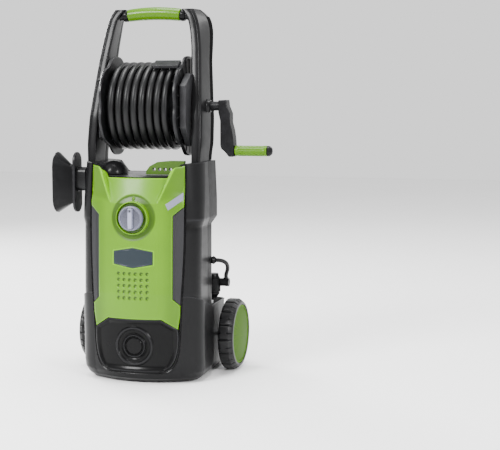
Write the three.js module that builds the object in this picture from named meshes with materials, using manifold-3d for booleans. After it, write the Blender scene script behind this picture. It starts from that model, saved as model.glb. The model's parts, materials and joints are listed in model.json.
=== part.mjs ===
// Upright electric pressure washer with a hose reel between its handle posts.
// Millimetres, +Z up, the front of the machine faces -Y, origin on the floor under the body.
import * as THREE from 'three';
import { mergeVertices } from 'three/addons/utils/BufferGeometryUtils.js';
import Module from 'manifold-3d';

const wasm = await Module();
wasm.setup();

// ---- driving dimensions -------------------------------------------------------------------
const GAP = 0.4;                 // clearance between neighbouring pieces
const FRONT_RADIUS = 225;        // plan radius of the curved front
const COVER_THICK = 3;           // front cover, lower cover and trims
const FRAME_THICK = 5;
const WALL = 3;
const FLOOR_THICK = 4;
const SPLIT_Y = 20;              // plane where the front and rear housings meet
const SHOULDER_Z = 368;          // underside of the wide shoulders
const TOP_Z = 520;
const DECK_Z = 488;              // middle of the saddle-shaped top deck
const BASE_HALF = 151;
const WHEEL = { radius: 87, inner: 162, outer: 199, y: 124, hubRadius: 72.5 };
const AXLE_RADIUS = 7;
const REEL = { y: 45, z: 648, drum: 74, flange: 118, half: 87, wind: 105 };
const HOSE_END = { x: 71, radius: 97, turn: -1.2 };  // the fitting lies in the last turn, behind the reel
const CRANK_RADIUS = 105;
const CRANK_GRIP = { from: 206.5, length: 78, radius: 13 };
const KNOB = { z: 392, radius: 29, spindle: 7 };
const GRIP = { y: 66, z: 868, half: 66, radius: 15.5 };
const MOTOR = { y: -4, low: 196, high: 350, radius: 56 };
const VALLEY = { z: 424, half: 56, spread: 0.36, slope: 0.3 };  // creased panel above the dial
const PISTON_RING = 27;          // distance of each piston from the pump axis
const OUTLET = { x: 136, y: 96 };

// body sections from the floor up: [z, half width, front y at the middle, front edge x, corner run]
const BASE_SECTIONS = [
  [0, 124, -62, 92, 34],
  [4, 134, -79, 98, 40],
  [12, 143, -90, 102, 44],
  [26, 149, -99, 106, 46],
  [44, BASE_HALF, -101.5, 108, 47],
  [120, BASE_HALF, -102, 109, 47],
  [214, BASE_HALF, -105, 114, 46],
];
const UPPER_SECTIONS = [
  [140, 145, -103, 110, 44, 85, 40],
  [214, 145, -105, 114, 40, 85, 40],
  [SHOULDER_Z, 145, -100, 118, 40, 86, 40],
  [SHOULDER_Z + 16, 150, -99.5, 119, 42, 104, 26],
  [430, 150, -97, 119, 46, 104, 26],
  [TOP_Z + 2, 146, -88, 118, 52, 104, 26],
];
// handle post, from its foot up: [z, inner x, front y, depth, width, toe], where the toe is the slope
// by which the posts are wider apart at the back
const POST_SECTIONS = [
  [440, 118, -29, 88, 20, 0.03],
  [535, 118.5, -28, 94, 22, 0.03],
  [560, 118, -25, 100, 24, 0.03],
  [621, 116, -15, 102, 24, 0.03],
  [662, 112.5, -4, 98, 24, 0.03],
  [756, 104, 22, 84, 24, 0.06],
  [791, 100, 34, 82, 24, 0.1],
  [828, 94, 44, 84, 24, 0.14],
  [852, 88, 48, 80, 24, 0.17],
  [868, 80, 51, 70, 26, 0.18],
  [878, 70, 55, 46, 28, 0.18],
];

// ---- materials ----------------------------------------------------------------------------
function paint(color, roughness, metalness = 0) {
  return new THREE.MeshStandardMaterial({ color, roughness, metalness });
}

const charcoal = paint(0x3a3a3c, 0.55);
const lime = paint(0x86b32e, 0.35);
const trimGrey = paint(0x55525f, 0.5);
const silver = paint(0x9a9cb4, 0.4);
const slate = paint(0x46555f, 0.4);
const black = paint(0x17171a, 0.45);
const rubber = paint(0x1b1b1c, 0.8);
const steel = paint(0xb8bcc0, 0.3, 0.9);
const alloy = paint(0xa8acb0, 0.45, 0.8);
const brass = paint(0xb99a4a, 0.35, 0.9);
const iron = paint(0x6c6f73, 0.6, 0.7);

// ---- solids -------------------------------------------------------------------------------
function toManifold(geometry) {
  const bare = geometry.clone();
  bare.deleteAttribute('normal');
  bare.deleteAttribute('uv');
  const merged = mergeVertices(bare, 1e-4);
  return new wasm.Manifold(new wasm.Mesh({
    numProp: 3,
    vertProperties: new Float32Array(merged.attributes.position.array),
    triVerts: new Uint32Array(merged.index.array),
  }));
}

function toGeometry(manifold) {
  const mesh = manifold.getMesh();
  const geometry = new THREE.BufferGeometry();
  geometry.setAttribute('position', new THREE.BufferAttribute(new Float32Array(mesh.vertProperties), 3));
  geometry.setIndex(new THREE.BufferAttribute(new Uint32Array(mesh.triVerts), 1));
  geometry.computeVertexNormals();
  return geometry;
}

function join(first, ...rest) {
  return toGeometry(rest.reduce((sum, g) => sum.add(toManifold(g)), toManifold(first)));
}

function cut(first, ...rest) {
  return toGeometry(rest.reduce((sum, g) => sum.subtract(toManifold(g)), toManifold(first)));
}

function meet(first, second) {
  return toGeometry(toManifold(first).intersect(toManifold(second)));
}

function box(low, high) {
  const size = high.map((value, i) => value - low[i]);
  const middle = high.map((value, i) => (value + low[i]) / 2);
  return new THREE.BoxGeometry(...size).translate(...middle);
}

// turns geometry built about the Y axis so that it lies along another axis
function along(geometry, axis) {
  if (axis === 'x') return geometry.rotateZ(-Math.PI / 2);
  if (axis === 'z') return geometry.rotateX(Math.PI / 2);
  return geometry;
}

// solid of revolution: profile points are [radius, distance along the axis]
function turned(axis, profile, sides = 24) {
  const points = profile.map(([radius, at]) => new THREE.Vector2(radius, at));
  return along(new THREE.LatheGeometry(points, sides), axis);
}

function rod(axis, from, to, radius, sides = 20) {
  return turned(axis, [[0, from], [radius, from], [radius, to], [0, to]], sides);
}

function ring(axis, from, to, inner, outer, sides = 24) {
  return turned(axis, [[inner, from], [outer, from], [outer, to], [inner, to], [inner, from]], sides);
}

// prism of an outline: across 'y' the points are [x, z], across 'x' they are [y, z], across 'z' [x, y]
function prism(axis, points, from, to) {
  const shape = new THREE.Shape(points.map(([u, v]) => new THREE.Vector2(u, v)));
  const flat = new THREE.ExtrudeGeometry(shape, { depth: to - from, bevelEnabled: false });
  if (axis === 'y') return flat.rotateX(Math.PI / 2).translate(0, to, 0);
  if (axis === 'x') return flat.rotateX(Math.PI / 2).rotateZ(Math.PI / 2).translate(from, 0, 0);
  return flat.translate(0, 0, from);
}

// closed solid through a stack of rings that all have the same number of [x, y, z] points
function loft(rings) {
  const count = rings[0].length;
  const positions = rings.flat(2);
  const centres = [rings[0], rings[rings.length - 1]].map((points) =>
    [0, 1, 2].map((axis) => points.reduce((sum, p) => sum + p[axis], 0) / count));
  const low = rings.length * count;
  positions.push(...centres.flat());
  const index = [];
  for (let i = 0; i < count; i += 1) {
    const next = (i + 1) % count;
    for (let level = 0; level < rings.length - 1; level += 1) {
      const a = level * count;
      const b = a + count;
      index.push(a + i, a + next, b + next, a + i, b + next, b + i);
    }
    const top = (rings.length - 1) * count;
    index.push(low, next, i, low + 1, top + i, top + next);
  }
  const geometry = new THREE.BufferGeometry();
  geometry.setAttribute('position', new THREE.Float32BufferAttribute(positions, 3));
  geometry.setIndex(index);
  return geometry;
}

function tube(points, radius, sides, steps) {
  const path = new THREE.CatmullRomCurve3(points.map((p) => new THREE.Vector3(...p)), false, 'centripetal');
  const section = new THREE.Shape();
  section.absarc(0, 0, radius, 0, Math.PI * 2);
  return new THREE.ExtrudeGeometry(section, { steps, extrudePath: path, curveSegments: sides });
}

const mirrorX = (points) => points.map(([x, v]) => [-x, v]).reverse();

// ---- body surfaces ------------------------------------------------------------------------
const sag = (x) => FRONT_RADIUS - Math.sqrt(FRONT_RADIUS ** 2 - x ** 2);

// plan outline of the body at one level, shrunk by an inset; starts at the front middle and runs
// along +X, round the front corner, the side, the rear corner and back by the mirrored half
function planOutline([z, half, front, edge, run, rear = 188, rearRadius = 22], inset) {
  const side = half - inset;
  const start = front + inset;
  const right = [];
  for (let i = 0; i <= 4; i += 1) right.push([edge * i / 4, start + sag(edge * i / 4)]);
  const edgeY = start + sag(edge);
  const spread = side - edge;
  for (let i = 1; i <= 3; i += 1) {
    const t = i / 3;
    const x = edge + spread * (2 * t * (1 - t) * 0.92 + t * t);
    right.push([x, edgeY + (2 * t * (1 - t) * 0.32 + t * t) * run]);
  }
  const r = rearRadius;
  for (let i = 0; i <= 3; i += 1) {
    const angle = (Math.PI / 2) * (i / 3);
    right.push([side - r + r * Math.cos(angle), rear - inset - r + r * Math.sin(angle)]);
  }
  const left = right.slice(1).reverse().map(([x, y]) => [-x, y]);
  return [...right, ...left].map(([x, y]) => [x, y, z]);
}

const bodyLoft = (sections, inset) => loft(sections.map((section) => planOutline(section, inset)));

// front y of the body at the middle for any height
function frontY(z) {
  const levels = [...BASE_SECTIONS, ...UPPER_SECTIONS.slice(2)];
  const i = Math.max(1, levels.findIndex((level) => level[0] >= z));
  const [low, high] = [levels[i - 1], levels[i]];
  return low[2] + (high[2] - low[2]) * (z - low[0]) / (high[0] - low[0]);
}

// above the dial the middle of the front leans back between two creases that spread upwards
const creaseX = (z) => VALLEY.half + Math.max(0, z - VALLEY.z) * VALLEY.spread;
const valley = (x, z) => (Math.abs(x) < creaseX(z) ? Math.max(0, z - VALLEY.z) * VALLEY.slope : 0);

// curved slab that follows the front: between two depths behind the front surface
function frontSlab(outer, inner) {
  const rings = [6, 12, 26, 44, 120, 214, 368, VALLEY.z, 482, TOP_Z + 2].map((z) => {
    const crease = creaseX(z);
    const right = [30, crease - 1.5, crease + 1.5, 112, 132];
    const face = [...[...right].reverse().map((x) => -x), 0, ...right];
    const near = face.map((x) => [x, frontY(z) + outer + sag(x) + valley(x, z), z]);
    const far = [...face].reverse().map((x) => [x, frontY(z) + inner + sag(x) + valley(x, z), z]);
    return [...near, ...far];
  });
  return loft(rings);
}

// a piece of the curved front skin with an outline seen from the front
function frontPiece(outline, outer, inner) {
  return meet(frontSlab(outer, inner), prism('y', outline, -140, -20));
}

function symmetric(rightHalf) {
  return [...rightHalf, ...mirrorX(rightHalf)];
}

// the outline points below are [x, z] of the right half, from the lower middle outwards and up
const FRAME_HALF = [[60, 24], [82, 29], [98, 46], [106, 76], [108.5, 126], [113, 214], [117.5, 315],
  [118.5, 409], [117, 518]];
const OPENING_HALF = [[57, 30], [77, 35], [93, 50], [101.5, 80], [104.5, 126], [109.5, 214], [114.5, 315],
  [116, 409], [114.5, 522]];
const GREEN_HALF = [[63.6, 155.5], [101, 132], [106, 166], [106.5, 187], [90, 202], [90, 397], [113.8, 417],
  [114.5, 470], [113, 511], [95, 508], [84, 499], [74, 482.5]];
const LOWER_HALF = [[56.5, 31], [76.5, 36], [92, 51], [100.8, 80], [103, 118], [100.6, 131], [63.4, 154.8]];
const TRIM = [[90.6, 203], [106.9, 188.5], [113.8, 315], [115, 409], [114.4, 416.6], [90.6, 396.6]];

// ---- casing -------------------------------------------------------------------------------
// profile of everything above the saddle-shaped top, as seen from the front
function aboveSaddle(drop) {
  return [[-170, 700], [-170, TOP_Z - drop], [-104, 515 - drop], [-82, DECK_Z - drop], [82, DECK_Z - drop],
    [104, 515 - drop], [170, TOP_Z - drop], [170, 700]];
}

// profile of everything above the sloping joint between the base and the upper housing
function aboveJoint(lift) {
  return [[-160, 210 + lift], [-70, 209 + lift], [45, 166 + lift], [85.5, 166 + lift], [260, 166 + lift],
    [260, 700], [-160, 700]];
}

const upperOuter = bodyLoft(UPPER_SECTIONS, 0);
const upperInner = bodyLoft(UPPER_SECTIONS, WALL);
const frameOpening = prism('y', symmetric(FRAME_HALF.map(([x, z]) => [x + GAP, z - GAP])), -140, -52);
const above = prism('y', aboveSaddle(0), -200, 240);
const overJoint = prism('x', aboveJoint(GAP), -200, 200);
const upperShell = meet(cut(upperOuter, upperInner, above, frameOpening), overJoint);

function ventSlots() {
  const slots = [];
  for (let row = 0; row < 7; row += 1) {
    slots.push(box([-58, 95, 392 + row * 12], [58, 110, 397 + row * 12]));
  }
  return slots;
}

const grommetHole = rod('x', 90, 170, 8.4, 16).translate(0, 58, 278);
const glandHole = rod('y', 60, 130, 9.4, 16).translate(-70, 0, 300);
const bulkhead = cut(meet(meet(frontSlab(FRAME_THICK + GAP, FRAME_THICK + GAP + WALL), upperOuter),
  box([-132, -140, 214], [132, 0, VALLEY.z - 2])), rod('y', -130, -50, 24, 24).translate(0, 0, KNOB.z));
const frontHousing = join(meet(upperShell, box([-200, -140, 100], [200, SPLIT_Y, 600])), bulkhead);
const rearHousing = cut(meet(upperShell, box([-200, SPLIT_Y + GAP, 100], [200, 140, 600])),
  ...ventSlots(), grommetHole, glandHole);

// a box on the right side and its mirror image on the left
function bothSides(low, high) {
  return [box(low, high), box([-high[0], low[1], low[2]], [-low[0], high[1], high[2]])];
}

function baseHousing() {
  const belowJoint = cut(box([-200, -140, 0], [200, 240, 260]), prism('x', aboveJoint(0), -210, 210));
  const hollow = bodyLoft(BASE_SECTIONS.map((s) => [s[0] + FLOOR_THICK, ...s.slice(1)]), 5);
  const shell = meet(cut(bodyLoft(BASE_SECTIONS, 0), hollow), belowJoint);
  const deck = meet(box([-150, 88, 162], [150, 187, 166]), bodyLoft(BASE_SECTIONS, 2));
  const recesses = bothSides([142, 48, -5], [170, 240, 200]);
  const cheeks = bothSides([138, 46, 12], [141.9, 172, 165]);
  const axleHole = rod('x', -200, 200, AXLE_RADIUS + GAP, 20).translate(0, WHEEL.y, WHEEL.radius);
  const outletHole = rod('z', 150, 180, 13 + GAP, 20).translate(OUTLET.x - 8, OUTLET.y, 0);
  const inletHole = rod('y', 170, 200, 14 + GAP, 16).translate(-40, 0, 58);
  return cut(join(cut(shell, frameOpening, ...recesses), deck, ...cheeks), axleHole, outletHole, inletHole);
}

const root = new THREE.Group();

function add(parent, name, geometry, material) {
  const mesh = new THREE.Mesh(geometry, material);
  mesh.name = name;
  parent.add(mesh);
  return mesh;
}

add(root, 'front_housing', frontHousing, charcoal);
add(root, 'rear_housing', rearHousing, charcoal);
add(root, 'base_housing', baseHousing(), charcoal);
add(root, 'front_frame', cut(frontPiece(symmetric(FRAME_HALF), 0, FRAME_THICK),
  prism('y', symmetric(OPENING_HALF), -140, -20), prism('y', aboveSaddle(6), -140, -20)), charcoal);

// ---- front covers -------------------------------------------------------------------------
const knobHole = rod('y', -130, -50, KNOB.spindle + GAP, 20).translate(0, 0, KNOB.z);
const ringRecess = rod('y', -130, -99.3, 39 + GAP, 28).translate(0, 0, KNOB.z);
const stripe = [[74, 424], [81, 408], [113, 432], [113.5, 452]];
const badge = [[-46, 299], [-46, 290], [-35, 277], [35, 277], [47, 290], [47, 299], [47, 306], [36, 321],
  [-35, 321], [-46, 308]];

function frontCover() {
  const slab = frontPiece(symmetric(GREEN_HALF), -1.5, COVER_THICK - 1.5);
  const stripeCut = meet(frontSlab(-3, -0.3), prism('y', stripe, -140, -20));
  const badgeCut = meet(frontSlab(-3, -0.3), prism('y', badge, -140, -20));
  return cut(slab, knobHole, ringRecess, stripeCut, badgeCut);
}

add(root, 'front_cover', frontCover(), lime);
add(root, 'lower_front_cover', frontPiece(symmetric(LOWER_HALF), 0.5, FRAME_THICK), charcoal);
add(root, 'side_trim_right', frontPiece(TRIM, 0.3, COVER_THICK), trimGrey);
add(root, 'side_trim_left', frontPiece(mirrorX(TRIM), 0.3, COVER_THICK), trimGrey);

// outline drawn in towards its middle by a factor
function scaled(points, factor) {
  const middle = [0, 1].map((axis) => points.reduce((sum, p) => sum + p[axis], 0) / points.length);
  return points.map((p) => p.map((value, axis) => middle[axis] + (value - middle[axis]) * factor));
}

add(root, 'accent_stripe', frontPiece(scaled(stripe, 0.94), -1.9, -0.6), silver);
add(root, 'badge_plate', frontPiece(scaled(badge, 0.985), -1.9, -0.6), slate);

// dial ring: a raised annulus round the knob, and the knob on its spindle
const dialProfile = [[32, -108.5], [37, -108.5], [39, -105.5], [39, -99.6], [32, -99.6], [32, -108.5]];
add(root, 'dial_ring', turned('y', dialProfile, 28).translate(0, 0, KNOB.z), lime);

// ---- top of the body ----------------------------------------------------------------------
const POST_COUNT = 12;

// rounded section of a handle post at one level; side is 1 for the right post, -1 for the left
function postSection([z, innerX, frontYAt, depth, width, toe], side, grow) {
  const points = [];
  const halfW = width / 2 + grow;
  const halfD = depth / 2 + grow;
  for (let i = 0; i < POST_COUNT; i += 1) {
    const angle = (Math.PI * 2 * (i + 0.5)) / POST_COUNT;
    const across = Math.sign(Math.cos(angle)) * Math.abs(Math.cos(angle)) ** 0.45 * halfW;
    const back = Math.sign(Math.sin(angle)) * Math.abs(Math.sin(angle)) ** 0.45 * halfD;
    const x = innerX + width / 2 + across + (back + depth / 2) * toe;
    points.push([side * x, frontYAt + depth / 2 + back, z]);
  }
  if (side < 0) points.reverse();
  return points;
}

const postLoft = (side, grow) => loft(POST_SECTIONS.map((section) => postSection(section, side, grow)));
const sockets = [-1, 1].map((side) => postLoft(side, GAP));
const deckBand = cut(prism('y', aboveSaddle(4), -200, 240), prism('y', aboveSaddle(0.4), -200, 240));
const deckPlan = meet(bodyLoft(UPPER_SECTIONS, WALL + GAP), box([-200, -140, 400], [200, 200, 600]));
const behindCovers = meet(frontSlab(-60, FRAME_THICK + GAP + 0.2), box([-126, -140, 400], [126, 0, 524]));
add(root, 'top_deck', cut(meet(deckPlan, deckBand), behindCovers, ...sockets), charcoal);

const rackOutline = [[10, 489], [10, 496], [19, 508], [38, 518], [66, 521], [104, 521], [104, 516],
  [82.6, 489]];
const nozzleHoles = [0, 1, 2, 3].map((i) => rod('y', -60, 10, 4, 12).translate(30 + 13.5 * i, 0, 501));
add(root, 'nozzle_rack', cut(prism('y', rackOutline, -34, -20), ...nozzleHoles), lime);

function gunHolder() {
  const dome = new THREE.SphereGeometry(31, 20, 12).scale(1, 1.15, 1.02).translate(-75, -14, 489.2);
  const cup = box([-88, -60, 497], [-62, 40, 560]);
  const shell = meet(dome, box([-104, -60, 489.2], [-40, 40, 560]));
  const hollow = meet(cup, box([-88, -22, 499], [-62, 30, 560]));
  const deckSlope = prism('y', [[-120, 530], [-104, 515.6], [-82, 488.6], [-120, 480]], -80, 60);
  return cut(shell, hollow, deckSlope);
}
add(root, 'gun_holder', gunHolder(), black);

// ---- handle -------------------------------------------------------------------------------
const crossbarHole = rod('x', -150, 150, 10.5, 16).translate(0, GRIP.y, GRIP.z);
const swivelHole = rod('x', -150, 150, 12, 20).translate(0, REEL.y, REEL.z);
[['left_post', -1], ['right_post', 1]].forEach(([name, side]) => {
  add(root, name, cut(postLoft(side, 0), crossbarHole, swivelHole), charcoal);
});
const barRadius = 10;
add(root, 'crossbar', rod('x', -98, 98, barRadius, 16).translate(0, GRIP.y, GRIP.z), charcoal);
add(root, 'handle_grip', ring('x', -GRIP.half, GRIP.half, barRadius + GAP, GRIP.radius, 20)
  .translate(0, GRIP.y, GRIP.z), lime);

// ---- hose reel ----------------------------------------------------------------------------
const reel = new THREE.Group();
reel.position.set(0, REEL.y, REEL.z);
root.add(reel);

function reelHalf(side) {
  const from = side > 0 ? REEL.half : -REEL.half - 8;
  const windows = [];
  for (let i = 0; i < 6; i += 1) {
    windows.push(rod('x', -120, 120, 18, 8).translate(0, 49, 0).rotateX((Math.PI * (i + 0.5)) / 3));
  }
  const disc = cut(rod('x', from, from + 8, REEL.flange, 40), ...windows, rod('x', -130, 130, 9 + GAP, 20));
  const wall = side > 0 ? ring('x', GAP, REEL.half + 4, REEL.drum - 4, REEL.drum - GAP, 24)
    : ring('x', -REEL.half - 4, -GAP, REEL.drum - 4, REEL.drum - GAP, 24);
  return join(disc, wall);
}
add(reel, 'reel_half_left', reelHalf(-1), charcoal);
add(reel, 'reel_half_right', reelHalf(1), charcoal);
const fittingPocket = box([HOSE_END.x - 12, -24, HOSE_END.radius - 11], [REEL.half, 26, REEL.wind + 5]);
const winding = ring('x', -REEL.half + 1, REEL.half - 1, REEL.drum + 0.2, REEL.wind, 28);
add(reel, 'hose_winding', cut(winding, fittingPocket.rotateX(HOSE_END.turn)), rubber);
const clipMiddle = REEL.wind + 6;
add(reel, 'hose_clip', box([24, -14, -4], [REEL.half - 0.4, 14, 4]).translate(0, 0, clipMiddle)
  .rotateX(0.5), trimGrey);
add(reel, 'hose_end_fitting', join(rod('y', -20, 12, 9.5, 12), rod('y', 11.9, 22, 6, 12))
  .translate(HOSE_END.x, 0, HOSE_END.radius).rotateX(HOSE_END.turn), brass);

const swivelProfile = [[0, -137], [11, -137], [11, -101], [15, -101], [15, -98], [0, -98], [0, -137]];
const swivel = turned('x', swivelProfile, 20);
add(root, 'reel_swivel', swivel.translate(0, REEL.y, REEL.z), brass);

function cheek(side) {
  const outline = [[-22, 574], [-2, 566], [62, 566], [72, 580], [72, 710], [60, 722], [2, 722], [-22, 712]];
  const plate = prism('x', outline, side > 0 ? 96.5 : -112, side > 0 ? 112 : -96.5);
  const hole = rod('x', -150, 150, side > 0 ? 9 + GAP : 15 + GAP, 20).translate(0, REEL.y, REEL.z);
  return cut(plate, postLoft(side, GAP), hole);
}
add(root, 'left_cheek', cheek(-1), trimGrey);
add(root, 'right_cheek', cheek(1), trimGrey);

// ---- crank --------------------------------------------------------------------------------
// the crank turns a shaft that carries the whole drum and ends in the swivel on the left
const crankShaft = turned('x', [[0, -REEL.half - 10], [9, -REEL.half - 10], [9, 113], [11, 113], [11, 168],
  [0, 168], [0, -REEL.half - 10]], 16);
add(reel, 'crank_shaft', crankShaft, trimGrey);
// the arm is a wavy blade, as deep as it is wide; outline points are [x, height over the shaft]
const armOutline = [[168.4, -14], [168.4, 14], [188, 15], [189.5, 1], [197, -17], [197, -38], [202, -56],
  [205, -76], [206, -92], [206, -119], [194, -119], [184, -107], [175.5, -100], [173, -92], [173, -34]];
const arm = prism('y', armOutline, -16, 16);
const gripFrom = CRANK_GRIP.from;
const gripTo = gripFrom + CRANK_GRIP.length;
const crankPin = rod('x', 190, gripTo - 2, 5, 12);
add(reel, 'crank_arm', join(arm, crankPin.translate(0, 0, -CRANK_RADIUS)), black);

const crankHandle = new THREE.Group();
crankHandle.position.set(0, 0, -CRANK_RADIUS);
reel.add(crankHandle);
const gripProfile = [[5.4, gripFrom], [12, gripFrom], [CRANK_GRIP.radius, gripFrom + 4],
  [CRANK_GRIP.radius, gripTo - 4], [12.4, gripTo], [5.4, gripTo], [5.4, gripFrom]];
add(crankHandle, 'crank_grip', turned('x', gripProfile, 20), lime);
const capProfile = [[0, gripTo + 0.4], [12.6, gripTo + 0.4], [12, gripTo + 6], [8, gripTo + 11],
  [0, gripTo + 13], [0, gripTo + 0.4]];
add(crankHandle, 'crank_grip_cap', turned('x', capProfile, 20), black);

// ---- wheels -------------------------------------------------------------------------------
add(root, 'wheel_axle', rod('x', -WHEEL.outer + 6, WHEEL.outer - 6, AXLE_RADIUS, 16)
  .translate(0, WHEEL.y, WHEEL.radius), steel);

function tyreGeometry() {
  const { inner, outer, radius, hubRadius } = WHEEL;
  const profile = [[hubRadius - 4, inner], [radius - 7, inner], [radius, inner + 7], [radius, outer - 11],
    [radius - 8, outer], [hubRadius, outer], [hubRadius, outer - 6], [hubRadius - 4, outer - 6],
    [hubRadius - 4, inner]];
  return turned('x', profile, 28);
}

function hubGeometry() {
  const { inner, outer, hubRadius } = WHEEL;
  const rim = ring('x', inner + 4, outer - 9, hubRadius - 10, hubRadius - 4 - GAP, 28);
  const web = ring('x', outer - 16, outer - 10, 12, hubRadius - 8, 28);
  const boss = ring('x', inner - 3, outer - 9, AXLE_RADIUS + GAP, 16, 20);
  return join(rim, web, boss);
}

[['left', -1], ['right', 1]].forEach(([name, side]) => {
  const wheel = new THREE.Group();
  wheel.position.set(0, WHEEL.y, WHEEL.radius);
  wheel.rotation.z = side > 0 ? 0 : Math.PI;
  root.add(wheel);
  const { outer, hubRadius } = WHEEL;
  const capRadius = hubRadius - GAP;
  const cap = [[0, outer - 5.4], [capRadius, outer - 5.4], [capRadius, outer - 2], [40, outer + 1],
    [0, outer + 2], [0, outer - 5.4]];
  add(wheel, `${name}_tyre`, tyreGeometry(), rubber);
  add(wheel, `${name}_hub`, hubGeometry(), black);
  add(wheel, `${name}_hub_cap`, turned('x', cap, 28), lime);
});

// ---- cord hook on the left side -----------------------------------------------------------
// oblong outline with round ends: points are [y, z]
function stadium(half, low, high) {
  const angles = [0, 1, 2, 3, 4, 5, 6, 7, 8].map((i) => (Math.PI * i) / 8);
  const top = angles.map((a) => [half * Math.cos(a), high - half + half * Math.sin(a)]);
  const bottom = angles.map((a) => [-half * Math.cos(a), low + half - half * Math.sin(a)]);
  return [...top, ...bottom];
}

const hookSection = (x, half, low, high) => stadium(half, low, high).map(([y, z]) => [x, y, z]);
const hookPlate = prism('x', stadium(23, 392, 538), -182, -175);
const hookBlock = prism('x', stadium(14, 444, 502), -176, -151.5);
add(root, 'hook_mount', join(hookPlate, hookBlock), charcoal);
add(root, 'hook_flare', loft([hookSection(-229.5, 34, 390, 538), hookSection(-227, 34, 390, 538),
  hookSection(-192, 11, 412, 507), hookSection(-182.4, 11, 412, 507)]), black);

// ---- outlet and its short hose ------------------------------------------------------------
const outlet = new THREE.Group();
outlet.position.set(OUTLET.x, OUTLET.y, 0);
root.add(outlet);
const nutProfile = [[0, 176], [9, 176], [9, 181], [15, 190], [15, 194], [17.5, 196], [17.5, 228], [14, 232],
  [12, 240], [0, 240], [0, 176]];
add(outlet, 'outlet_fitting', turned('z', nutProfile, 20), black);
const elbowBody = rod('x', 17.9, 40, 10, 16).translate(0, 0, 219);
const elbowStub = rod('z', 219, 231, 6.5, 12).translate(32, 0, 0);
add(outlet, 'outlet_elbow', join(elbowBody, elbowStub), black);
const jumper = [[32, 0, 231.5], [32, 0, 237], [38, -7, 254], [39, -19, 267], [34, -31, 275], [24, -37, 278],
  [14, -38, 278], [0, -38, 278], [-26, -38, 278]];
add(outlet, 'jumper_hose', tube(jumper, 5, 4, 26), rubber);
const grommetProfile = [[5.6, -18], [8, -18], [8, 13.6], [10, 13.6], [10, 16], [7, 21], [5.6, 21],
  [5.6, -18]];
add(outlet, 'hose_grommet', turned('x', grommetProfile, 16).translate(-4, -38, 278), black);

// ---- switch, motor and pump ---------------------------------------------------------------
add(root, 'switch_body', cut(box([-24, -84, KNOB.z - 24], [24, -48, KNOB.z + 24]),
  rod('y', -90, -56, KNOB.spindle + GAP, 16).translate(0, 0, KNOB.z)), black);
const glandProfile = [[4.5, 70], [9, 70], [9, 86.4], [13, 86.4], [13, 90], [10, 104], [4.5, 104], [4.5, 70]];
add(root, 'cable_gland', turned('y', glandProfile, 16).translate(-70, 0, 300), black);

const drive = new THREE.Group();
drive.position.set(0, MOTOR.y, 0);
root.add(drive);
const { low, high, radius: canRadius } = MOTOR;
const canProfile = [[16, high - 3], [16, high], [canRadius, high], [canRadius, low + 3],
  [canRadius + 6, low + 3],
  [canRadius + 6, low], [canRadius - 3, low], [canRadius - 3, high - 3], [16, high - 3]];
add(drive, 'motor_can', turned('z', canProfile.reverse(), 20), iron);
const rotorProfile = [[0, 168], [7, 168], [7, low + 34], [31, low + 34], [31, high - 38], [7, high - 38],
  [7, 382],
  [0, 382], [0, 168]];
add(drive, 'rotor', turned('z', rotorProfile, 16), steel);

function fan() {
  const hub = ring('z', 360, 376, 7 + 2 * GAP, 16, 16);
  const disc = ring('z', 360, 362.5, 15, 42, 20);
  const blade = box([15, -1.5, 362], [41, 1.5, 375]);
  const blades = [0, 1, 2, 3, 4, 5].map((i) => blade.clone().rotateZ((Math.PI * i) / 3));
  return join(hub, disc, ...blades);
}
add(drive, 'cooling_fan', fan(), black);

// the swash plate turns with the rotor and pushes three plungers down into the pump head
const swashTilt = box([-60, -60, 100], [60, 60, 148]).rotateY(0.14).translate(-16, 0, -4);
const swashDisc = cut(rod('z', 140, 162, 42, 20), swashTilt);
const swashHub = rod('z', 150, 178, 13, 20);
const rotorSeat = rod('z', 167.6, 190, 7 + GAP / 2, 16);
add(drive, 'swash_plate', cut(join(swashDisc, swashHub), rotorSeat), steel);
const housingProfile = [[46, 112], [52, 112], [52, 190], [canRadius + 6, 190], [canRadius + 6, low - GAP],
  [16, low - GAP], [16, low - 6], [46, low - 6], [46, 112]];
add(drive, 'pump_housing', turned('z', housingProfile, 20), alloy);
const bores = [];
for (let i = 0; i < 3; i += 1) {
  const angle = (Math.PI * 2 * i) / 3;
  const [x, y] = [PISTON_RING * Math.cos(angle), PISTON_RING * Math.sin(angle)];
  bores.push(rod('z', 84, 120, 6 + GAP / 2, 12).translate(x, y, 0));
  const piston = new THREE.Group();
  piston.position.set(x, y, 0);
  drive.add(piston);
  const plunger = [[0, 90], [6, 90], [6, 126], [11, 126], [11, 130], [5, 133], [0, 134], [0, 90]];
  add(piston, `piston_${i + 1}`, turned('z', plunger, 12), steel);
  add(piston, `piston_spring_${i + 1}`, ring('z', 112.4, 125.6, 7, 10, 12), steel);
}
const head = join(rod('z', 60, 111.6, 50, 20), box([-52, -20, 66], [-48, 20, 104]));
const outletPort = rod('x', 30, 64, 5, 12).translate(0, 20, 72);
add(drive, 'pump_head', cut(head, ...bores, outletPort), brass);
const pipe = [[50.6, 20, 72], [80, 20, 72], [104, 40, 76], [118, 76, 90], [128, 100, 112], [128, 100, 172]];
add(drive, 'outlet_pipe', tube(pipe, 8, 4, 14), steel);
const inletProfile = [[7, 60], [11, 60], [11, 150], [13.6, 150], [13.6, 189], [19, 189], [19, 214], [7, 214],
  [7, 60]];
add(root, 'water_inlet', turned('y', inletProfile, 16).translate(-40, 0, 58), brass);

const knobDisc = turned('y', [[0, -117.5], [24, -117.5], [KNOB.radius, -114], [KNOB.radius, -105], [0, -105],
  [0, -117.5]], 32);
const spindle = rod('y', -105.5, -62, KNOB.spindle, 16);
const fingerBar = box([-5, -121.5, -26], [5, -117, 26]);
add(root, 'switch_knob', join(knobDisc, spindle, fingerBar).translate(0, 0, KNOB.z), silver);

export default root;
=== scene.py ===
import json
import math

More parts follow.
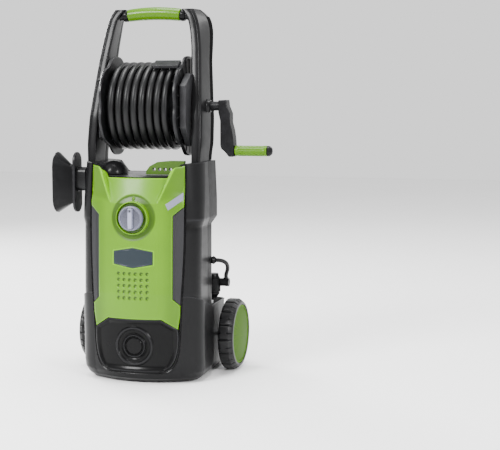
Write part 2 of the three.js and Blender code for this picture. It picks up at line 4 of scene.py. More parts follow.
import bmesh
import bpy
import numpy as np
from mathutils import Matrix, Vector

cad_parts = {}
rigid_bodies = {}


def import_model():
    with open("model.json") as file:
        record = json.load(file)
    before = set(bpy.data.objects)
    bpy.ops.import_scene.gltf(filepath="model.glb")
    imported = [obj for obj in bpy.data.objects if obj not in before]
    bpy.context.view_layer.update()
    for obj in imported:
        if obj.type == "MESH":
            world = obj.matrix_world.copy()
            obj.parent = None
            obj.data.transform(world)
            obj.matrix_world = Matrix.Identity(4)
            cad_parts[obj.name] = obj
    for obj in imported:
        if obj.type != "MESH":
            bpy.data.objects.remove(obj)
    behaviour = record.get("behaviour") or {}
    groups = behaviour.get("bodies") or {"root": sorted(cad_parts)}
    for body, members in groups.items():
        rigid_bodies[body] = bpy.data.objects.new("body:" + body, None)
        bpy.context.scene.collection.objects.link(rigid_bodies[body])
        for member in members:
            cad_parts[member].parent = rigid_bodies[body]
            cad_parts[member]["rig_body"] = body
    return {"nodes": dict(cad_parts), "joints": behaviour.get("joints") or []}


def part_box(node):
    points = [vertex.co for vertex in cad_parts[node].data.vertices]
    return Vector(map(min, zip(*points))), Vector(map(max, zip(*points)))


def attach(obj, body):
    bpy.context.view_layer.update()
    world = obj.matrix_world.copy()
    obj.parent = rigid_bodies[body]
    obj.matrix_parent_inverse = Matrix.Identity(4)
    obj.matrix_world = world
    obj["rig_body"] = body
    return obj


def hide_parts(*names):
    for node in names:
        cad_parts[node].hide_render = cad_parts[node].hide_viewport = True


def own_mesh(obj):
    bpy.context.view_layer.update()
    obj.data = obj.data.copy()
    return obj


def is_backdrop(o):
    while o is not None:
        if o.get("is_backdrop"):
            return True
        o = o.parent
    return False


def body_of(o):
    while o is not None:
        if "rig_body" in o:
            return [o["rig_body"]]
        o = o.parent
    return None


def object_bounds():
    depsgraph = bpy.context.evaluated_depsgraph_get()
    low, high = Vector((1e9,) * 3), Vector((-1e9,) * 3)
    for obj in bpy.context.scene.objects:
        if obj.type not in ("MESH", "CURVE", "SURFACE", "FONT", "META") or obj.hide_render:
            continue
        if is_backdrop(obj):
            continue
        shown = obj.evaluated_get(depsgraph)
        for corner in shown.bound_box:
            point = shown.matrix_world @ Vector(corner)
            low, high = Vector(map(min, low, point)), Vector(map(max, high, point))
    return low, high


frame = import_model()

bl_info = {
    "name": "Pressure Washer",
    "version": (1, 0, 0),
    "blender": (4, 5, 0),
    "location": "View3D > Sidebar > Washer",
    "description": "Builds an upright pressure washer with a hose reel on the packed frame",
    "category": "Add Mesh",
}

MM = 0.001
MERGE_DISTANCE = 2e-6
SHARP_ANGLE = 38
CAD_BOX = [list(corner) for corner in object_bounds()]
JOINTS = {joint["name"]: joint for joint in frame["joints"]}
AXLE = np.array(JOINTS["reel_spin"]["pos_m"]) / MM
KNOB = np.array(JOINTS["switch_knob_turn"]["pos_m"]) / MM
WHEELS = {side: np.array(JOINTS[f"{side}_wheel_spin"]["pos_m"]) / MM for side in ("left", "right")}


# ---- sizes and colours a user would change ---------------------------------------------------
def length(name, description, default):
    """A length in metres that the panel shows."""
    return bpy.props.FloatProperty(name=name, description=description, default=default, unit="LENGTH")


def colour(name, description, default):
    """A colour that the panel shows."""
    return bpy.props.FloatVectorProperty(name=name, description=description, default=default,
                                         subtype="COLOR", size=3, min=0.0, max=1.0)


class WasherColours(bpy.types.PropertyGroup):
    charcoal: colour("Charcoal", "Moulded housing, frame and posts", (0.0046, 0.0046, 0.005))
    lime: colour("Lime", "Front cover, grips and hub caps", (0.074, 0.190, 0.0004))
    trim: colour("Trim", "Side trims and reel cheeks", (0.0135, 0.0135, 0.0152))
    silver: colour("Silver", "Knob and stripe", (0.15, 0.155, 0.21))
    slate: colour("Slate", "Badge plate", (0.018, 0.032, 0.044))
    black: colour("Black", "Small fittings", (0.003, 0.003, 0.0033))
    hose: colour("Hose", "High pressure hose", (0.0035, 0.0035, 0.0038))


class CasingSizes(bpy.types.PropertyGroup):
    wall: length("Wall", "Thickness of the moulded shells", 0.003)
    edge: length("Edge", "Radius of the rims of the shells", 0.0009)
    cover_step: length("Cover step", "Grid step of the front covers", 0.0018)


class HoseSizes(bpy.types.PropertyGroup):
    diameter: length("Diameter", "Outer diameter of the hose", 0.016)
    reach: length("Length", "Whole length of the hose", 8.0)
    inner_radius: length("Inner radius", "Middle of the inner layer", 0.082)
    outer_radius: length("Outer radius", "Middle of the outer layer", 0.097)


class StageSizes(bpy.types.PropertyGroup):
    floor: length("Floor", "Side of the square floor", 14.0)
    focal: length("Focal length", "Focal length of the camera", 0.0844)


# ---- meshes ----------------------------------------------------------------------------------
def quads(rows, cols, wrap_rows=False, wrap_cols=False):
    """Corners of the cells of a grid: cell (i, j) joins points (i, j), (i, j+1), (i+1, j+1), (i+1, j)."""
    i = np.arange(rows if wrap_rows else rows - 1)
    j = np.arange(cols if wrap_cols else cols - 1)
    i, j = np.meshgrid(i, j, indexing="ij")
    down, right = (i + 1) % rows, (j + 1) % cols
    return np.stack([i * cols + j, i * cols + right, down * cols + right, down * cols + j], -1).reshape(-1, 4)


def strip(near, far):
    """Cells between two equally long rows of point numbers."""
    return np.stack([near[:-1], near[1:], far[1:], far[:-1]], -1)


def solid(points, faces):
    """One closed part of a piece: points in millimetres and an array of faces."""
    return np.asarray(points, float).reshape(-1, 3), np.asarray(faces, int)


def slab(front, back):
    """Closed plate between two grids of the same shape: both faces and the rim between their borders."""
    rows, cols = front.shape[:2]
    number = np.arange(rows * cols).reshape(rows, cols)
    rim = np.concatenate([number[0], number[1:, -1], number[-1, -2::-1], number[-2::-1, 0]])
    cells = quads(rows, cols)
    shift = rows * cols
    faces = np.concatenate([cells, cells[:, ::-1] + shift, strip(rim, rim + shift)])
    return solid(np.concatenate([front.reshape(-1, 3), back.reshape(-1, 3)]), faces)


def normals(grid):
    """Unit normal of a grid at each point: cross product of its two directions of travel."""
    normal = np.cross(np.gradient(grid, axis=1), np.gradient(grid, axis=0))
    return normal / np.maximum(np.linalg.norm(normal, axis=-1, keepdims=True), 1e-9)


def shell(outside, thickness):
    """Closed plate whose inner face is the outer grid moved back along its normals."""
    return slab(outside, outside - normals(outside) * thickness)


def bowl(outside, thickness):
    """Closed plate of a grid whose columns run round a loop: outer face, inner face and both rims."""
    rows, cols = outside.shape[:2]
    wide = np.concatenate([outside[:, -2:], outside, outside[:, :2]], 1)
    inside = outside - normals(wide)[:, 2:-2] * thickness
    cells = quads(rows, cols, wrap_cols=True)
    number = np.arange(cols + 1) % cols
    shift = rows * cols
    low, high = number, number + (rows - 1) * cols
    faces = [cells, cells[:, ::-1] + shift, strip(low, low + shift), strip(high + shift, high)]
    return solid(np.concatenate([outside.reshape(-1, 3), inside.reshape(-1, 3)]), np.concatenate(faces))


def tube_solid(rings, closed=False):
    """Closed solid through rings of points, each joined round its loop; the ends close on their middles."""
    rows, cols = rings.shape[:2]
    if closed:
        return solid(rings, quads(rows, cols, True, True))
    points = np.concatenate([rings.reshape(-1, 3), rings[[0, -1]].mean(1)])
    cells = quads(rows, cols, wrap_cols=True)
    ring = np.arange(cols)
    after = (ring + 1) % cols
    low, high = rows * cols, rows * cols + 1
    last = (rows - 1) * cols
    caps = np.concatenate([np.stack([np.full(cols, low), after, ring, ring], -1),
                           np.stack([np.full(cols, high), last + ring, last + after, last + after], -1)])
    return solid(points, np.concatenate([cells, caps]))


def rounded(points, rounds=3, closed=False, keep=0.25):
    """Corner cutting: each round replaces every corner by two points a quarter of the way along its sides."""
    path = np.asarray(points, float)
    for _ in range(rounds):
        after = np.roll(path, -1, 0) if closed else path[1:]
        here = path if closed else path[:-1]
        pairs = np.stack([here + (after - here) * keep, here + (after - here) * (1 - keep)], 1)
        pairs = pairs.reshape(-1, path.shape[1])
        path = pairs if closed else np.concatenate([path[:1], pairs[1:-1], path[-1:]])
    return path


def turned(axis, profile, centre=(0, 0, 0), sides=64, shape=None):
    """Profile points (radius, distance) turned about an axis; shape(angle) may scale the radius."""
    profile = np.asarray(profile, float)
    angle = np.arange(sides) * 2 * np.pi / sides
    radius = profile[:, :1] * (1.0 if shape is None else shape(angle, profile))
    across, up = radius * np.cos(angle), radius * np.sin(angle)
    far = np.broadcast_to(profile[:, 1:2], across.shape)
    order = {"x": (far, across, up), "y": (up, far, across), "z": (across, up, far)}[axis]
    rings = np.stack(order, -1) + np.asarray(centre, float)
    return tube_solid(rings, closed=np.allclose(profile[0], profile[-1]))


def carried(path, radius, sides=24, flat=1.0, reference=(0.0, 0.12, 1.0)):
    """Round section carried along a path, each ring in the plane across the path; radius may vary."""
    path = np.asarray(path, float)
    along = np.gradient(path, axis=0)
    along /= np.linalg.norm(along, axis=1, keepdims=True)
    side = np.cross(along, reference)
    side /= np.linalg.norm(side, axis=1, keepdims=True)
    up = np.cross(side, along)
    angle = np.arange(sides) * 2 * np.pi / sides
    width = np.broadcast_to(np.asarray(radius, float), (len(path),))[:, None, None]
    ring = np.cos(angle)[None, :, None] * side[:, None] + np.sin(angle)[None, :, None] * up[:, None] * flat
    return tube_solid(path[:, None] + ring * width)


def spline(points, count):
    """Smooth curve through points: cubic through each span, its slopes from the neighbours."""
    points = np.asarray(points, float)
    chord = np.concatenate([[0], np.cumsum(np.linalg.norm(np.diff(points, axis=0), axis=1) ** 0.5)])
    slope = np.gradient(points, chord, axis=0)
    at = np.linspace(0, chord[-1], count)
    k = np.clip(np.searchsorted(chord, at, "right") - 1, 0, len(points) - 2)
    step = (chord[k + 1] - chord[k])[:, None]
    t = (at[:, None] - chord[k][:, None]) / step
    return ((2 * t**3 - 3 * t**2 + 1) * points[k] + (t**3 - 2 * t**2 + t) * step * slope[k]
            + (3 * t**2 - 2 * t**3) * points[k + 1] + (t**3 - t**2) * step * slope[k + 1])


def mirrored(part):
    """The same solid on the other side of the machine."""
    points, faces = part
    return points * [-1, 1, 1], faces[:, ::-1]


def shade_smooth(mesh, angle):
    """Shades a mesh smooth, apart from edges sharper than an angle in degrees."""
    mesh.polygons.foreach_set("use_smooth", np.ones(len(mesh.polygons), bool))
    mesh.set_sharp_from_angle(angle=math.radians(angle))


def finish_mesh(mesh, angle):
    """Merges doubled points, turns the faces outwards and shades smooth up to an angle."""
    work = bmesh.new()
    work.from_mesh(mesh)
    bmesh.ops.remove_doubles(work, verts=work.verts, dist=MERGE_DISTANCE)
    bmesh.ops.dissolve_degenerate(work, edges=work.edges, dist=1e-6)
    bmesh.ops.recalc_face_normals(work, faces=work.faces)
    work.to_mesh(mesh)
    work.free()
    shade_smooth(mesh, angle)


def add_piece(name, parts, finish, body, stands_for=(), edge=0.0, angle=SHARP_ANGLE):
    """Makes one object of closed solids with a finish and a body, in place of the CAD nodes it stands for."""
    parts = parts if isinstance(parts, list) else [parts]
    mesh = bpy.data.meshes.new(name)
    points, faces, start = [], [], 0
    for corners, cells in parts:
        points.append(corners)
        faces.append(cells + start)
        start += len(corners)
    loops = [cell if cell[-1] != cell[-2] else cell[:3] for cell in np.concatenate(faces).tolist()]
    mesh.from_pydata((np.concatenate(points) * MM).tolist(), [], loops)
    finish_mesh(mesh, angle)
    mesh.materials.append(FINISHES[finish])
    return place_piece(mesh, body, stands_for, edge)


def place_piece(mesh, body, stands_for, edge):
    """Puts a mesh into the scene as a piece: its rounding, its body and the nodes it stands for."""
    piece = bpy.data.objects.new(mesh.name, mesh)
    bpy.context.scene.collection.objects.link(piece)
    if edge:
        soften(piece, edge)
    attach(piece, body)
    if stands_for:
        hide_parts(*stands_for)
    return piece


def corners_of(node):
    """Lowest and highest corner of a CAD node, in millimetres."""
    return [np.array(corner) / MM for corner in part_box(node)]


def soften(piece, width, segments=2):
    """Rounds the sharp edges of a piece with a live bevel."""
    bevel = piece.modifiers.new("Rounded edges", "BEVEL")
    bevel.width = width
    bevel.segments = segments
    bevel.limit_method = "ANGLE"
    bevel.angle_limit = math.radians(SHARP_ANGLE)
    bevel.harden_normals = True
    bevel.use_clamp_overlap = True


def refined(node, finish, edge=0.0008, angle=34):
    """A merged copy of a CAD node with its flat faces joined and its edges rounded, in the node's place."""
    mesh = frame["nodes"][node].data.copy()
    mesh.name = f"{node}_moulding"
    work = bmesh.new()
    work.from_mesh(mesh)
    bmesh.ops.remove_doubles(work, verts=work.verts, dist=MERGE_DISTANCE)
    bmesh.ops.dissolve_limit(work, angle_limit=math.radians(1.0), verts=work.verts, edges=work.edges)
    work.to_mesh(mesh)
    work.free()
    mesh.materials.clear()
    mesh.materials.append(FINISHES[finish])
    shade_smooth(mesh, angle)
    return place_piece(mesh, body_of(frame["nodes"][node])[0], [node], edge)


# ---- finishes --------------------------------------------------------------------------------
FINISHES = {}


class Nodes:
    """Short calls to lay out one node material."""

    def __init__(self, name):
        self.material = bpy.data.materials.new(name)
        self.material.use_nodes = True
        self.tree = self.material.node_tree
        self.shader = self.tree.nodes["Principled BSDF"]
        self.place = self.add("ShaderNodeTexCoord").outputs["Object"]

    def add(self, kind, **settings):
        node = self.tree.nodes.new(kind)
        for key, value in settings.items():
            setattr(node, key, value)
        return node

    def link(self, source, target):
        self.tree.links.new(source, target)

    def noise(self, scale, detail=3.0, roughness=0.55, stretch=None):
        """Noise over the piece; stretch gives a scale for each axis."""
        node = self.add("ShaderNodeTexNoise")
        node.inputs["Scale"].default_value = scale
        node.inputs["Detail"].default_value = detail
        node.inputs["Roughness"].default_value = roughness
        source = self.place
        if stretch:
            mapping = self.add("ShaderNodeMapping")
            mapping.inputs["Scale"].default_value = stretch
            self.link(source, mapping.inputs["Vector"])
            source = mapping.outputs["Vector"]
        self.link(source, node.inputs["Vector"])
        return node.outputs["Fac"]

    def ramp(self, source, low, high, start=0.0, end=1.0):
        """Maps a value from low..high to start..end, held at the ends."""
        node = self.add("ShaderNodeMapRange")
        for socket, value in zip(("From Min", "From Max", "To Min", "To Max"), (low, high, start, end)):
            node.inputs[socket].default_value = value
        self.link(source, node.inputs["Value"])
        return node.outputs["Result"]

    def maths(self, operation, first, second):
        """One sum on two values; each is a number or a socket."""
        node = self.add("ShaderNodeMath", operation=operation)
        for socket, value in zip(node.inputs, (first, second)):
            if isinstance(value, (int, float)):
                socket.default_value = value
            else:
                self.link(value, socket)
        return node.outputs["Value"]

    def mix(self, factor, first, second):
        """Colour mix; each side is a colour or a socket."""
        node = self.add("ShaderNodeMix", data_type="RGBA")
        for socket, value in ((node.inputs[0], factor), (node.inputs[6], first), (node.inputs[7], second)):
            if isinstance(value, (tuple, list)):
                socket.default_value = (*value[:3], 1.0)
            elif isinstance(value, (int, float)):
                socket.default_value = value
            else:
                self.link(value, socket)
        return node.outputs[2]

    def ring(self, centre, inner, outer):
        """1 between two radii about a centre (x, height) seen from the front, soft at both borders."""
        offset = self.add("ShaderNodeVectorMath", operation="SUBTRACT")
        offset.inputs[1].default_value = (centre[0], 0.0, centre[1])
        self.link(self.place, offset.inputs[0])
        flat = self.add("ShaderNodeVectorMath", operation="MULTIPLY")
        flat.inputs[1].default_value = (1.0, 0.0, 1.0)
        self.link(offset.outputs["Vector"], flat.inputs[0])
        distance = self.add("ShaderNodeVectorMath", operation="LENGTH")
        self.link(flat.outputs["Vector"], distance.inputs[0])
        span = distance.outputs["Value"]
        outside, inside = self.ramp(span, inner - MM, inner), self.ramp(span, outer, outer + 4 * MM, 1, 0)
        return self.maths("MULTIPLY", outside, inside)

    def bend(self, low, high, start, end):
        """A ramp of how the surface bends: over 0.5 at its edges, under 0.5 in its hollows."""
        bend = self.add("ShaderNodeNewGeometry").outputs["Pointiness"]
        return self.ramp(bend, low, high, start, end)

    def axes(self):
        """The three coordinates of a place on the piece, in metres."""
        split = self.add("ShaderNodeSeparateXYZ")
        self.link(self.place, split.inputs["Vector"])
        return [split.outputs[axis] for axis in "XYZ"]

    def surface(self, colour, roughness, normal=None, **constants):
        """Links the shader's main sockets, sets the others (_ stands for a space), gives the material."""
        self.link(colour, self.shader.inputs["Base Color"])
        if roughness:
            self.link(roughness, self.shader.inputs["Roughness"])
        if normal:
            self.link(normal, self.shader.inputs["Normal"])
        for name, value in constants.items():
            self.shader.inputs[name.replace("_", " ")].default_value = value
        return self.material

    def bump(self, height, distance, strength=1.0, under=None):
        """Relief from a height, laid over another relief where one is given."""
        node = self.add("ShaderNodeBump")
        node.inputs["Distance"].default_value = distance
        node.inputs["Strength"].default_value = strength
        self.link(height, node.inputs["Height"])
        if under:
            self.link(under, node.inputs["Normal"])
        return node.outputs["Normal"]


def shade(base, factor):
    """A colour made darker or lighter by a factor."""
    return tuple(min(1.0, channel * factor) for channel in base)


def moulded(name, base, gloss, grain, relief, wear_and_highlight, spread, coat, shine):
    """Moulded plastic: fine grain, faint cloudy tone, paler edges from wear and painted highlight, painted
    shade in the hollows, and the painted shade and painted highlight of the tone attribute.
    """
    n = Nodes(name)
    cloud = n.noise(9.0, 4.0)
    speck = n.noise(grain, 2.0, 0.6)
    tone = n.mix(n.ramp(cloud, 0.32, 0.68), shade(base, 1 - spread), shade(base, 1 + spread))
    # convex edges turn paler: partly wear, partly painted highlight
    edge = n.bend(0.515, 0.57, 0.0, 1.0)
    patchy = n.maths("MULTIPLY", edge, n.ramp(n.noise(60.0, 3.0), 0.35, 0.65, 0.25, 1.0))
    rubbed_and_highlit = n.mix(n.maths("MULTIPLY", patchy, 0.65), tone, shade(base, wear_and_highlight))
    flecked = n.mix(n.ramp(speck, 0.55, 0.8, 0.0, 0.25), rubbed_and_highlit, shade(base, 1.35))
    # darker hollows: painted shade
    hollow_shade = n.bend(0.44, 0.49, 0.75, 0.0)
    # the tone attribute carries painted light: over 0 it darkens as painted shade, below 0 it pales as
    # painted highlight
    painted = n.add("ShaderNodeAttribute", attribute_name="tone").outputs["Fac"]
    painted_shade_mix = n.mix(n.maths("MAXIMUM", hollow_shade, n.ramp(painted, 0.0, 1.0)), flecked, shade(base, 0.22))
    tone = n.mix(n.ramp(painted, 0.0, -1.0), painted_shade_mix, shade(base, wear_and_highlight))
    roughness = n.ramp(n.noise(26.0, 4.0), 0.3, 0.7, gloss - 0.06, gloss + 0.07)
    coarse = n.bump(n.noise(14.0, 2.0), 0.0004, 0.25)
    return n.surface(tone, roughness, n.bump(speck, relief, 0.55, coarse), Specular_IOR_Level=shine,
                     Coat_Weight=coat, Coat_Roughness=0.18)


def rubbery(name, base, gloss, grain, relief):
    """Rubber: matt, fine-pored, with a pale bloom in broad patches."""
    n = Nodes(name)
    bloom = n.ramp(n.noise(16.0, 5.0, 0.65), 0.42, 0.75)
    scuff = n.ramp(n.noise(220.0, 3.0, 0.6), 0.5, 0.78, 0.0, 0.5)
    tone = n.mix(n.maths("MULTIPLY", bloom, 0.6), base, shade(base, 2.1))
    roughness = n.ramp(n.noise(40.0, 3.0), 0.3, 0.7, gloss - 0.07, gloss + 0.08)
    pores = n.bump(n.noise(grain, 3.0, 0.6), relief, 0.6)
    return n.surface(n.mix(scuff, tone, shade(base, 1.7)), roughness, pores, Specular_IOR_Level=0.2)


def metal(name, base, gloss, stretch, relief=0.00004, stain=0.25):
    """Metal: drawn or cast grain stretched along one axis, with duller stained patches."""
    n = Nodes(name)
    grain = n.noise(240.0, 4.0, 0.6, stretch)
    patch = n.ramp(n.noise(18.0, 5.0, 0.6), 0.35, 0.7)
    tone = n.mix(n.maths("MULTIPLY", patch, stain), base, shade(base, 0.55))
    tone = n.mix(n.ramp(grain, 0.4, 0.7, 0.0, 0.3), tone, shade(base, 1.3))
    roughness = n.ramp(grain, 0.25, 0.75, gloss - 0.1, gloss + 0.12)
    return n.surface(tone, roughness, n.bump(grain, relief, 0.5), Metallic=1.0)


def brushed_disc(name, base, centre_yz):
    """Glossy plastic disc with fine spokes: the angle about the axle drives a narrow noise."""
    n = Nodes(name)
    _, y, z = n.axes()
    angle = n.maths("ARCTAN2", n.maths("SUBTRACT", z, centre_yz[1]), n.maths("SUBTRACT", y, centre_yz[0]))
    spokes = n.add("ShaderNodeTexNoise", noise_dimensions="1D")
    spokes.inputs["Scale"].default_value = 16.0
    spokes.inputs["Detail"].default_value = 4.0
    n.link(angle, spokes.inputs["W"])
    streak = spokes.outputs["Fac"]
    tone = n.mix(n.ramp(streak, 0.38, 0.62), shade(base, 0.55), shade(base, 1.25))
    edge = n.bend(0.51, 0.56, 0.0, 0.7)
    return n.surface(n.mix(edge, tone, shade(base, 2.2)), n.ramp(streak, 0.3, 0.7, 0.5, 0.64),
                     n.bump(streak, 0.0003, 0.3), Specular_IOR_Level=0.06)


def knob_lacquer_painted_shade(name, base):
    """Lacquer with painted shade: the finger bar and the rim are pale, the two hollows beside the bar are
    darker with painted shade that deepens towards the top.
    """
    n = Nodes(name)
    x, _, z = n.axes()
    across = n.maths("ABSOLUTE", x, 0.0)
    beside = n.ramp(across, 0.0052, 0.0062)
    centre = (0.0, KNOB[2] * MM)
    # the two hollows beside the bar: painted shade
    hollow_shade = n.maths("MULTIPLY", beside, n.ring(centre, -0.002, 0.0215))
    # the painted shade grows darker towards the top
    shade_towards_top = n.ramp(z, centre[1] - 0.026, centre[1] + 0.026)
    field = n.mix(shade_towards_top, shade(base, 0.5), shade(base, 0.2))
    tone = n.mix(n.ring(centre, 0.0235, 0.05), n.mix(hollow_shade, shade(base, 1.5), field), shade(base, 0.6))
    speck = n.noise(1500.0, 2.0, 0.6)
    dot = n.ring((0.0, centre[1] + 0.0175), -0.002, 0.0012)
    flecked = n.mix(n.ramp(speck, 0.5, 0.8, 0.0, 0.2), tone, shade(base, 2.4))
    return n.surface(n.mix(dot, flecked, shade(base, 0.08)), n.ramp(n.noise(40.0), 0.3, 0.7, 0.24, 0.36),
                     n.bump(speck, 0.00002, 0.5), Specular_IOR_Level=0.35)


# plastics by finish: name, colour, factor on the colour, gloss, grain, relief, factor for edge wear and
# painted highlight, spread, coat, shine
PLASTICS = {
    "charcoal": ("Charcoal plastic", "charcoal", 1.0, 0.34, 900.0, 0.00006, 5.0, 0.16, 0.1, 0.08),
    "post": ("Post plastic", "charcoal", 1.0, 0.34, 900.0, 0.00006, 1.5, 0.16, 0.1, 0.08),
    "lower": ("Lower cover plastic", "charcoal", 0.5, 0.32, 900.0, 0.00006, 9.0, 0.16, 0.12, 0.04),
    "cheek": ("Cheek plastic", "charcoal", 2.2, 0.42, 1000.0, 0.00005, 3.0, 0.12, 0.0, 0.22),
    "matte": ("Matte black plastic", "black", 0.6, 0.75, 1000.0, 0.00005, 3.0, 0.2, 0.0, 0.03),
    "charcoal_fine": ("Charcoal trim plastic", "charcoal", 0.6, 0.27, 1300.0, 0.00003, 6.0, 0.16, 0.0, 0.13),
    "lime": ("Lime plastic", "lime", 1.0, 0.36, 1200.0, 0.00003, 1.9, 0.07, 0.08, 0.2),
    # lime darkened as painted shade, for the dial seat and the nozzle rack
    "lime_painted_shade": ("Deep lime plastic", "lime", 0.38, 0.34, 1200.0, 0.00003, 1.7, 0.08, 0.1, 0.3),
    "rear": ("Black housing", "black", 1.0, 0.42, 900.0, 0.00006, 4.0, 0.2, 0.06, 0.08),
    "lime_grip": ("Lime grip", "lime", 0.65, 0.27, 900.0, 0.00004, 1.7, 0.1, 0.06, 0.15),
    "trim": ("Trim plastic", "trim", 1.0, 0.42, 1000.0, 0.00005, 1.9, 0.12, 0.0, 0.22),
    "silver": ("Silver lacquer", "silver", 1.0, 0.28, 1500.0, 0.00002, 1.5, 0.08, 0.4, 0.22),
    "slate": ("Badge lacquer", "slate", 0.45, 0.34, 1400.0, 0.00002, 1.0, 0.1, 0.1, 0.22),
    "black": ("Black plastic", "black", 1.0, 0.34, 1000.0, 0.00005, 5.0, 0.2, 0.1, 0.05),
}


def make_finishes(colours):
    """Makes every material from the colours in the panel."""
    for finish, (name, base, factor, *surface) in PLASTICS.items():
        FINISHES[finish] = moulded(name, shade(getattr(colours, base), factor), *surface)
    FINISHES.update({
        "knob": knob_lacquer_painted_shade("Knob lacquer", tuple(colours.silver)),
        "lime_disc": brushed_disc("Lime hub disc", shade(colours.lime, 0.5), WHEELS["left"][1:] * MM),
        "hose": rubbery("Hose rubber", tuple(colours.hose), 0.38, 700.0, 0.00005),
        "tyre": rubbery("Tyre rubber", shade(colours.hose, 1.3), 0.36, 420.0, 0.00008),
        "steel": metal("Drawn steel", (0.56, 0.57, 0.58), 0.3, (1.0, 1.0, 0.08)),
        "brass": metal("Turned brass", (0.68, 0.50, 0.22), 0.32, (0.1, 1.0, 1.0)),
        "alloy": metal("Cast alloy", (0.48, 0.49, 0.50), 0.48, (1.0, 1.0, 1.0), 0.0001, 0.4),
        "iron": metal("Painted motor iron", (0.16, 0.17, 0.18), 0.5, (1.0, 1.0, 1.0), 0.0001, 0.4),
    })


# ---- body surfaces, in millimetres -----------------------------------------------------------
FRONT_RADIUS = 225.0
SPLIT = 20.0
# height, half width, front, x where the front corner starts, depth of the corner
BASE_LEVELS = np.array([
    (0, 124, -62, 92, 34), (4, 134, -79, 98, 40), (12, 143, -90, 102, 44), (26, 149, -99, 106, 46),
    (44, 151, -101.5, 108, 47), (120, 151, -102, 109, 47), (214, 151, -105, 114, 46)], float)
# the same, then the rear and the radius of the rear corner
UPPER_LEVELS = np.array([
    (140, 145, -103, 110, 44, 85, 40), (214, 145, -105, 114, 40, 85, 40), (368, 145, -100, 118, 40, 86, 40),
    (384, 150, -99.5, 119, 42, 104, 26), (430, 150, -97, 119, 46, 104, 26),
    (522, 146, -88, 118, 52, 104, 26)], float)
# height and front all the way up
FRONT_LINE = np.concatenate([BASE_LEVELS[:, [0, 2]], UPPER_LEVELS[2:, [0, 2]]])
# outlines of the right half as seen from the front: x, height
FRAME_HALF = [(0, 24), (60, 24), (82, 29), (98, 46), (106, 76), (108.5, 126), (113, 214), (117.5, 315),
              (118.5, 409), (117, 511)]
OPENING_HALF = [(0, 30), (57, 30), (77, 35), (93, 50), (101.5, 80), (104.5, 126), (109.5, 214), (114.5, 315),
                (116, 409), (114.7, 511)]
CREASE = {"start": 424.0, "half": 56.0, "spread": 0.36, "slope": 0.3}
WHEEL_RECESS = {"x": 142.0, "start": 48.0}
KNOB_DISH = (39.0, 56.0)
# slots in the rear wall: first and last height, distance between them, half width and depth
VENTS = {"low": 392, "high": 470, "pitch": 12.0, "half": 58, "depth": 2.6}
# middle height, half width, half height in the middle and how much lower its ends are
BADGE = {"z": 299.0, "width": 48.0, "height": 23.6, "drop": 8.6}
# first pit at the lower left, and the distances between pits
DIMPLES = {"x": -35, "z": 205, "pitch": (14.0, 14.25), "columns": 6, "rows": 5}
POINTER_RISE = 44.5
LOWER_RINGS_Z = 91
# height and half width of the lime cover, then the outline of the lower cover's right half
COVER_WIDTHS = [(132, 101), (166, 106), (187, 106.5), (202, 90.4), (397, 90.4), (417, 113.8), (470, 114.5),
                (511, 113)]
LOWER_COVER_HALF = [(56.5, 31), (76.5, 36), (92, 51), (100.8, 80), (103, 118), (100.6, 131), (100.6, 155)]
TRIM_CORNERS = [(90.9, 203), (106.7, 188.8), (114.2, 416), (90.9, 396.4)]
STRIPE_CORNERS = [(81, 409.6), (112.4, 432.8), (112.8, 450.4), (75.2, 423.4)]


def level(table, z, column):
    """A column of a table at a height, the table's first column being the height."""
    return np.interp(z, table[:, 0], table[:, column])


def sag(x):
    """How far the round front falls back at x: a circle about the vertical."""
    return FRONT_RADIUS - np.sqrt(FRONT_RADIUS**2 - np.minimum(np.abs(x), 200.0) ** 2)


def ease(value, low, high):
    """Smooth step from 0 at low to 1 at high."""
    t = np.clip((value - low) / (high - low), 0, 1)
    return t * t * (3 - 2 * t)


def band(value, rise_from, rise_to, fall_from, fall_to):
    """Smooth step up to 1 and down to 0 again."""
    return ease(value, rise_from, rise_to) * (1 - ease(value, fall_from, fall_to))


def bell(value, middle, width):
    """Smooth bump of height 1 about a middle value."""
    return np.exp(-(((value - middle) / width) ** 2))


def valley(x, z):
    """Above the dial the middle leans back between two creases that spread upwards."""
    rise = np.maximum(z - CREASE["start"], 0)
    crease = CREASE["half"] + rise * CREASE["spread"]
    return rise * CREASE["slope"] * (1 - ease(np.abs(x), crease - 1.8, crease + 1.8))


def on_front(x, z, out):
    """Points on the curved front, moved out towards the viewer."""
    y = level(FRONT_LINE, z, 1) + sag(x) + valley(x, z) - out
    x, y, z = np.broadcast_arrays(x, y, z)
    return np.stack([x, y, z], -1)


def front_plate(x, z, out, back):
    """Closed plate that follows the curved front, between two distances out from it."""
    return slab(on_front(x, z, out), on_front(x, z, back))


def corner_depth(x, z, table):
    """Front of the body at x: the round front, then a quadratic curve that turns into the side."""
    half, front, edge, run = (level(table, z, column) for column in (1, 2, 3, 4))
    part = np.clip((x - edge) / (half - edge), 0, 1)
    t = (1.84 - np.sqrt(1.84**2 - 3.36 * part)) / 1.68
    return front + sag(np.minimum(x, edge)) + (0.64 * t * (1 - t) + t * t) * run


def joint_height(y):
    """Height of the sloping joint between the base and the upper housing."""
    return np.interp(y, [-160, -70, 45, 85.5, 260], [210, 209, 166, 166, 166])


def saddle_height(x):
    """Height of the top edge, which dips in the middle."""
    return np.interp(np.abs(x), [0, 80, 84, 102, 106, 170], [488, 488, 490, 513.5, 515.2, 520])


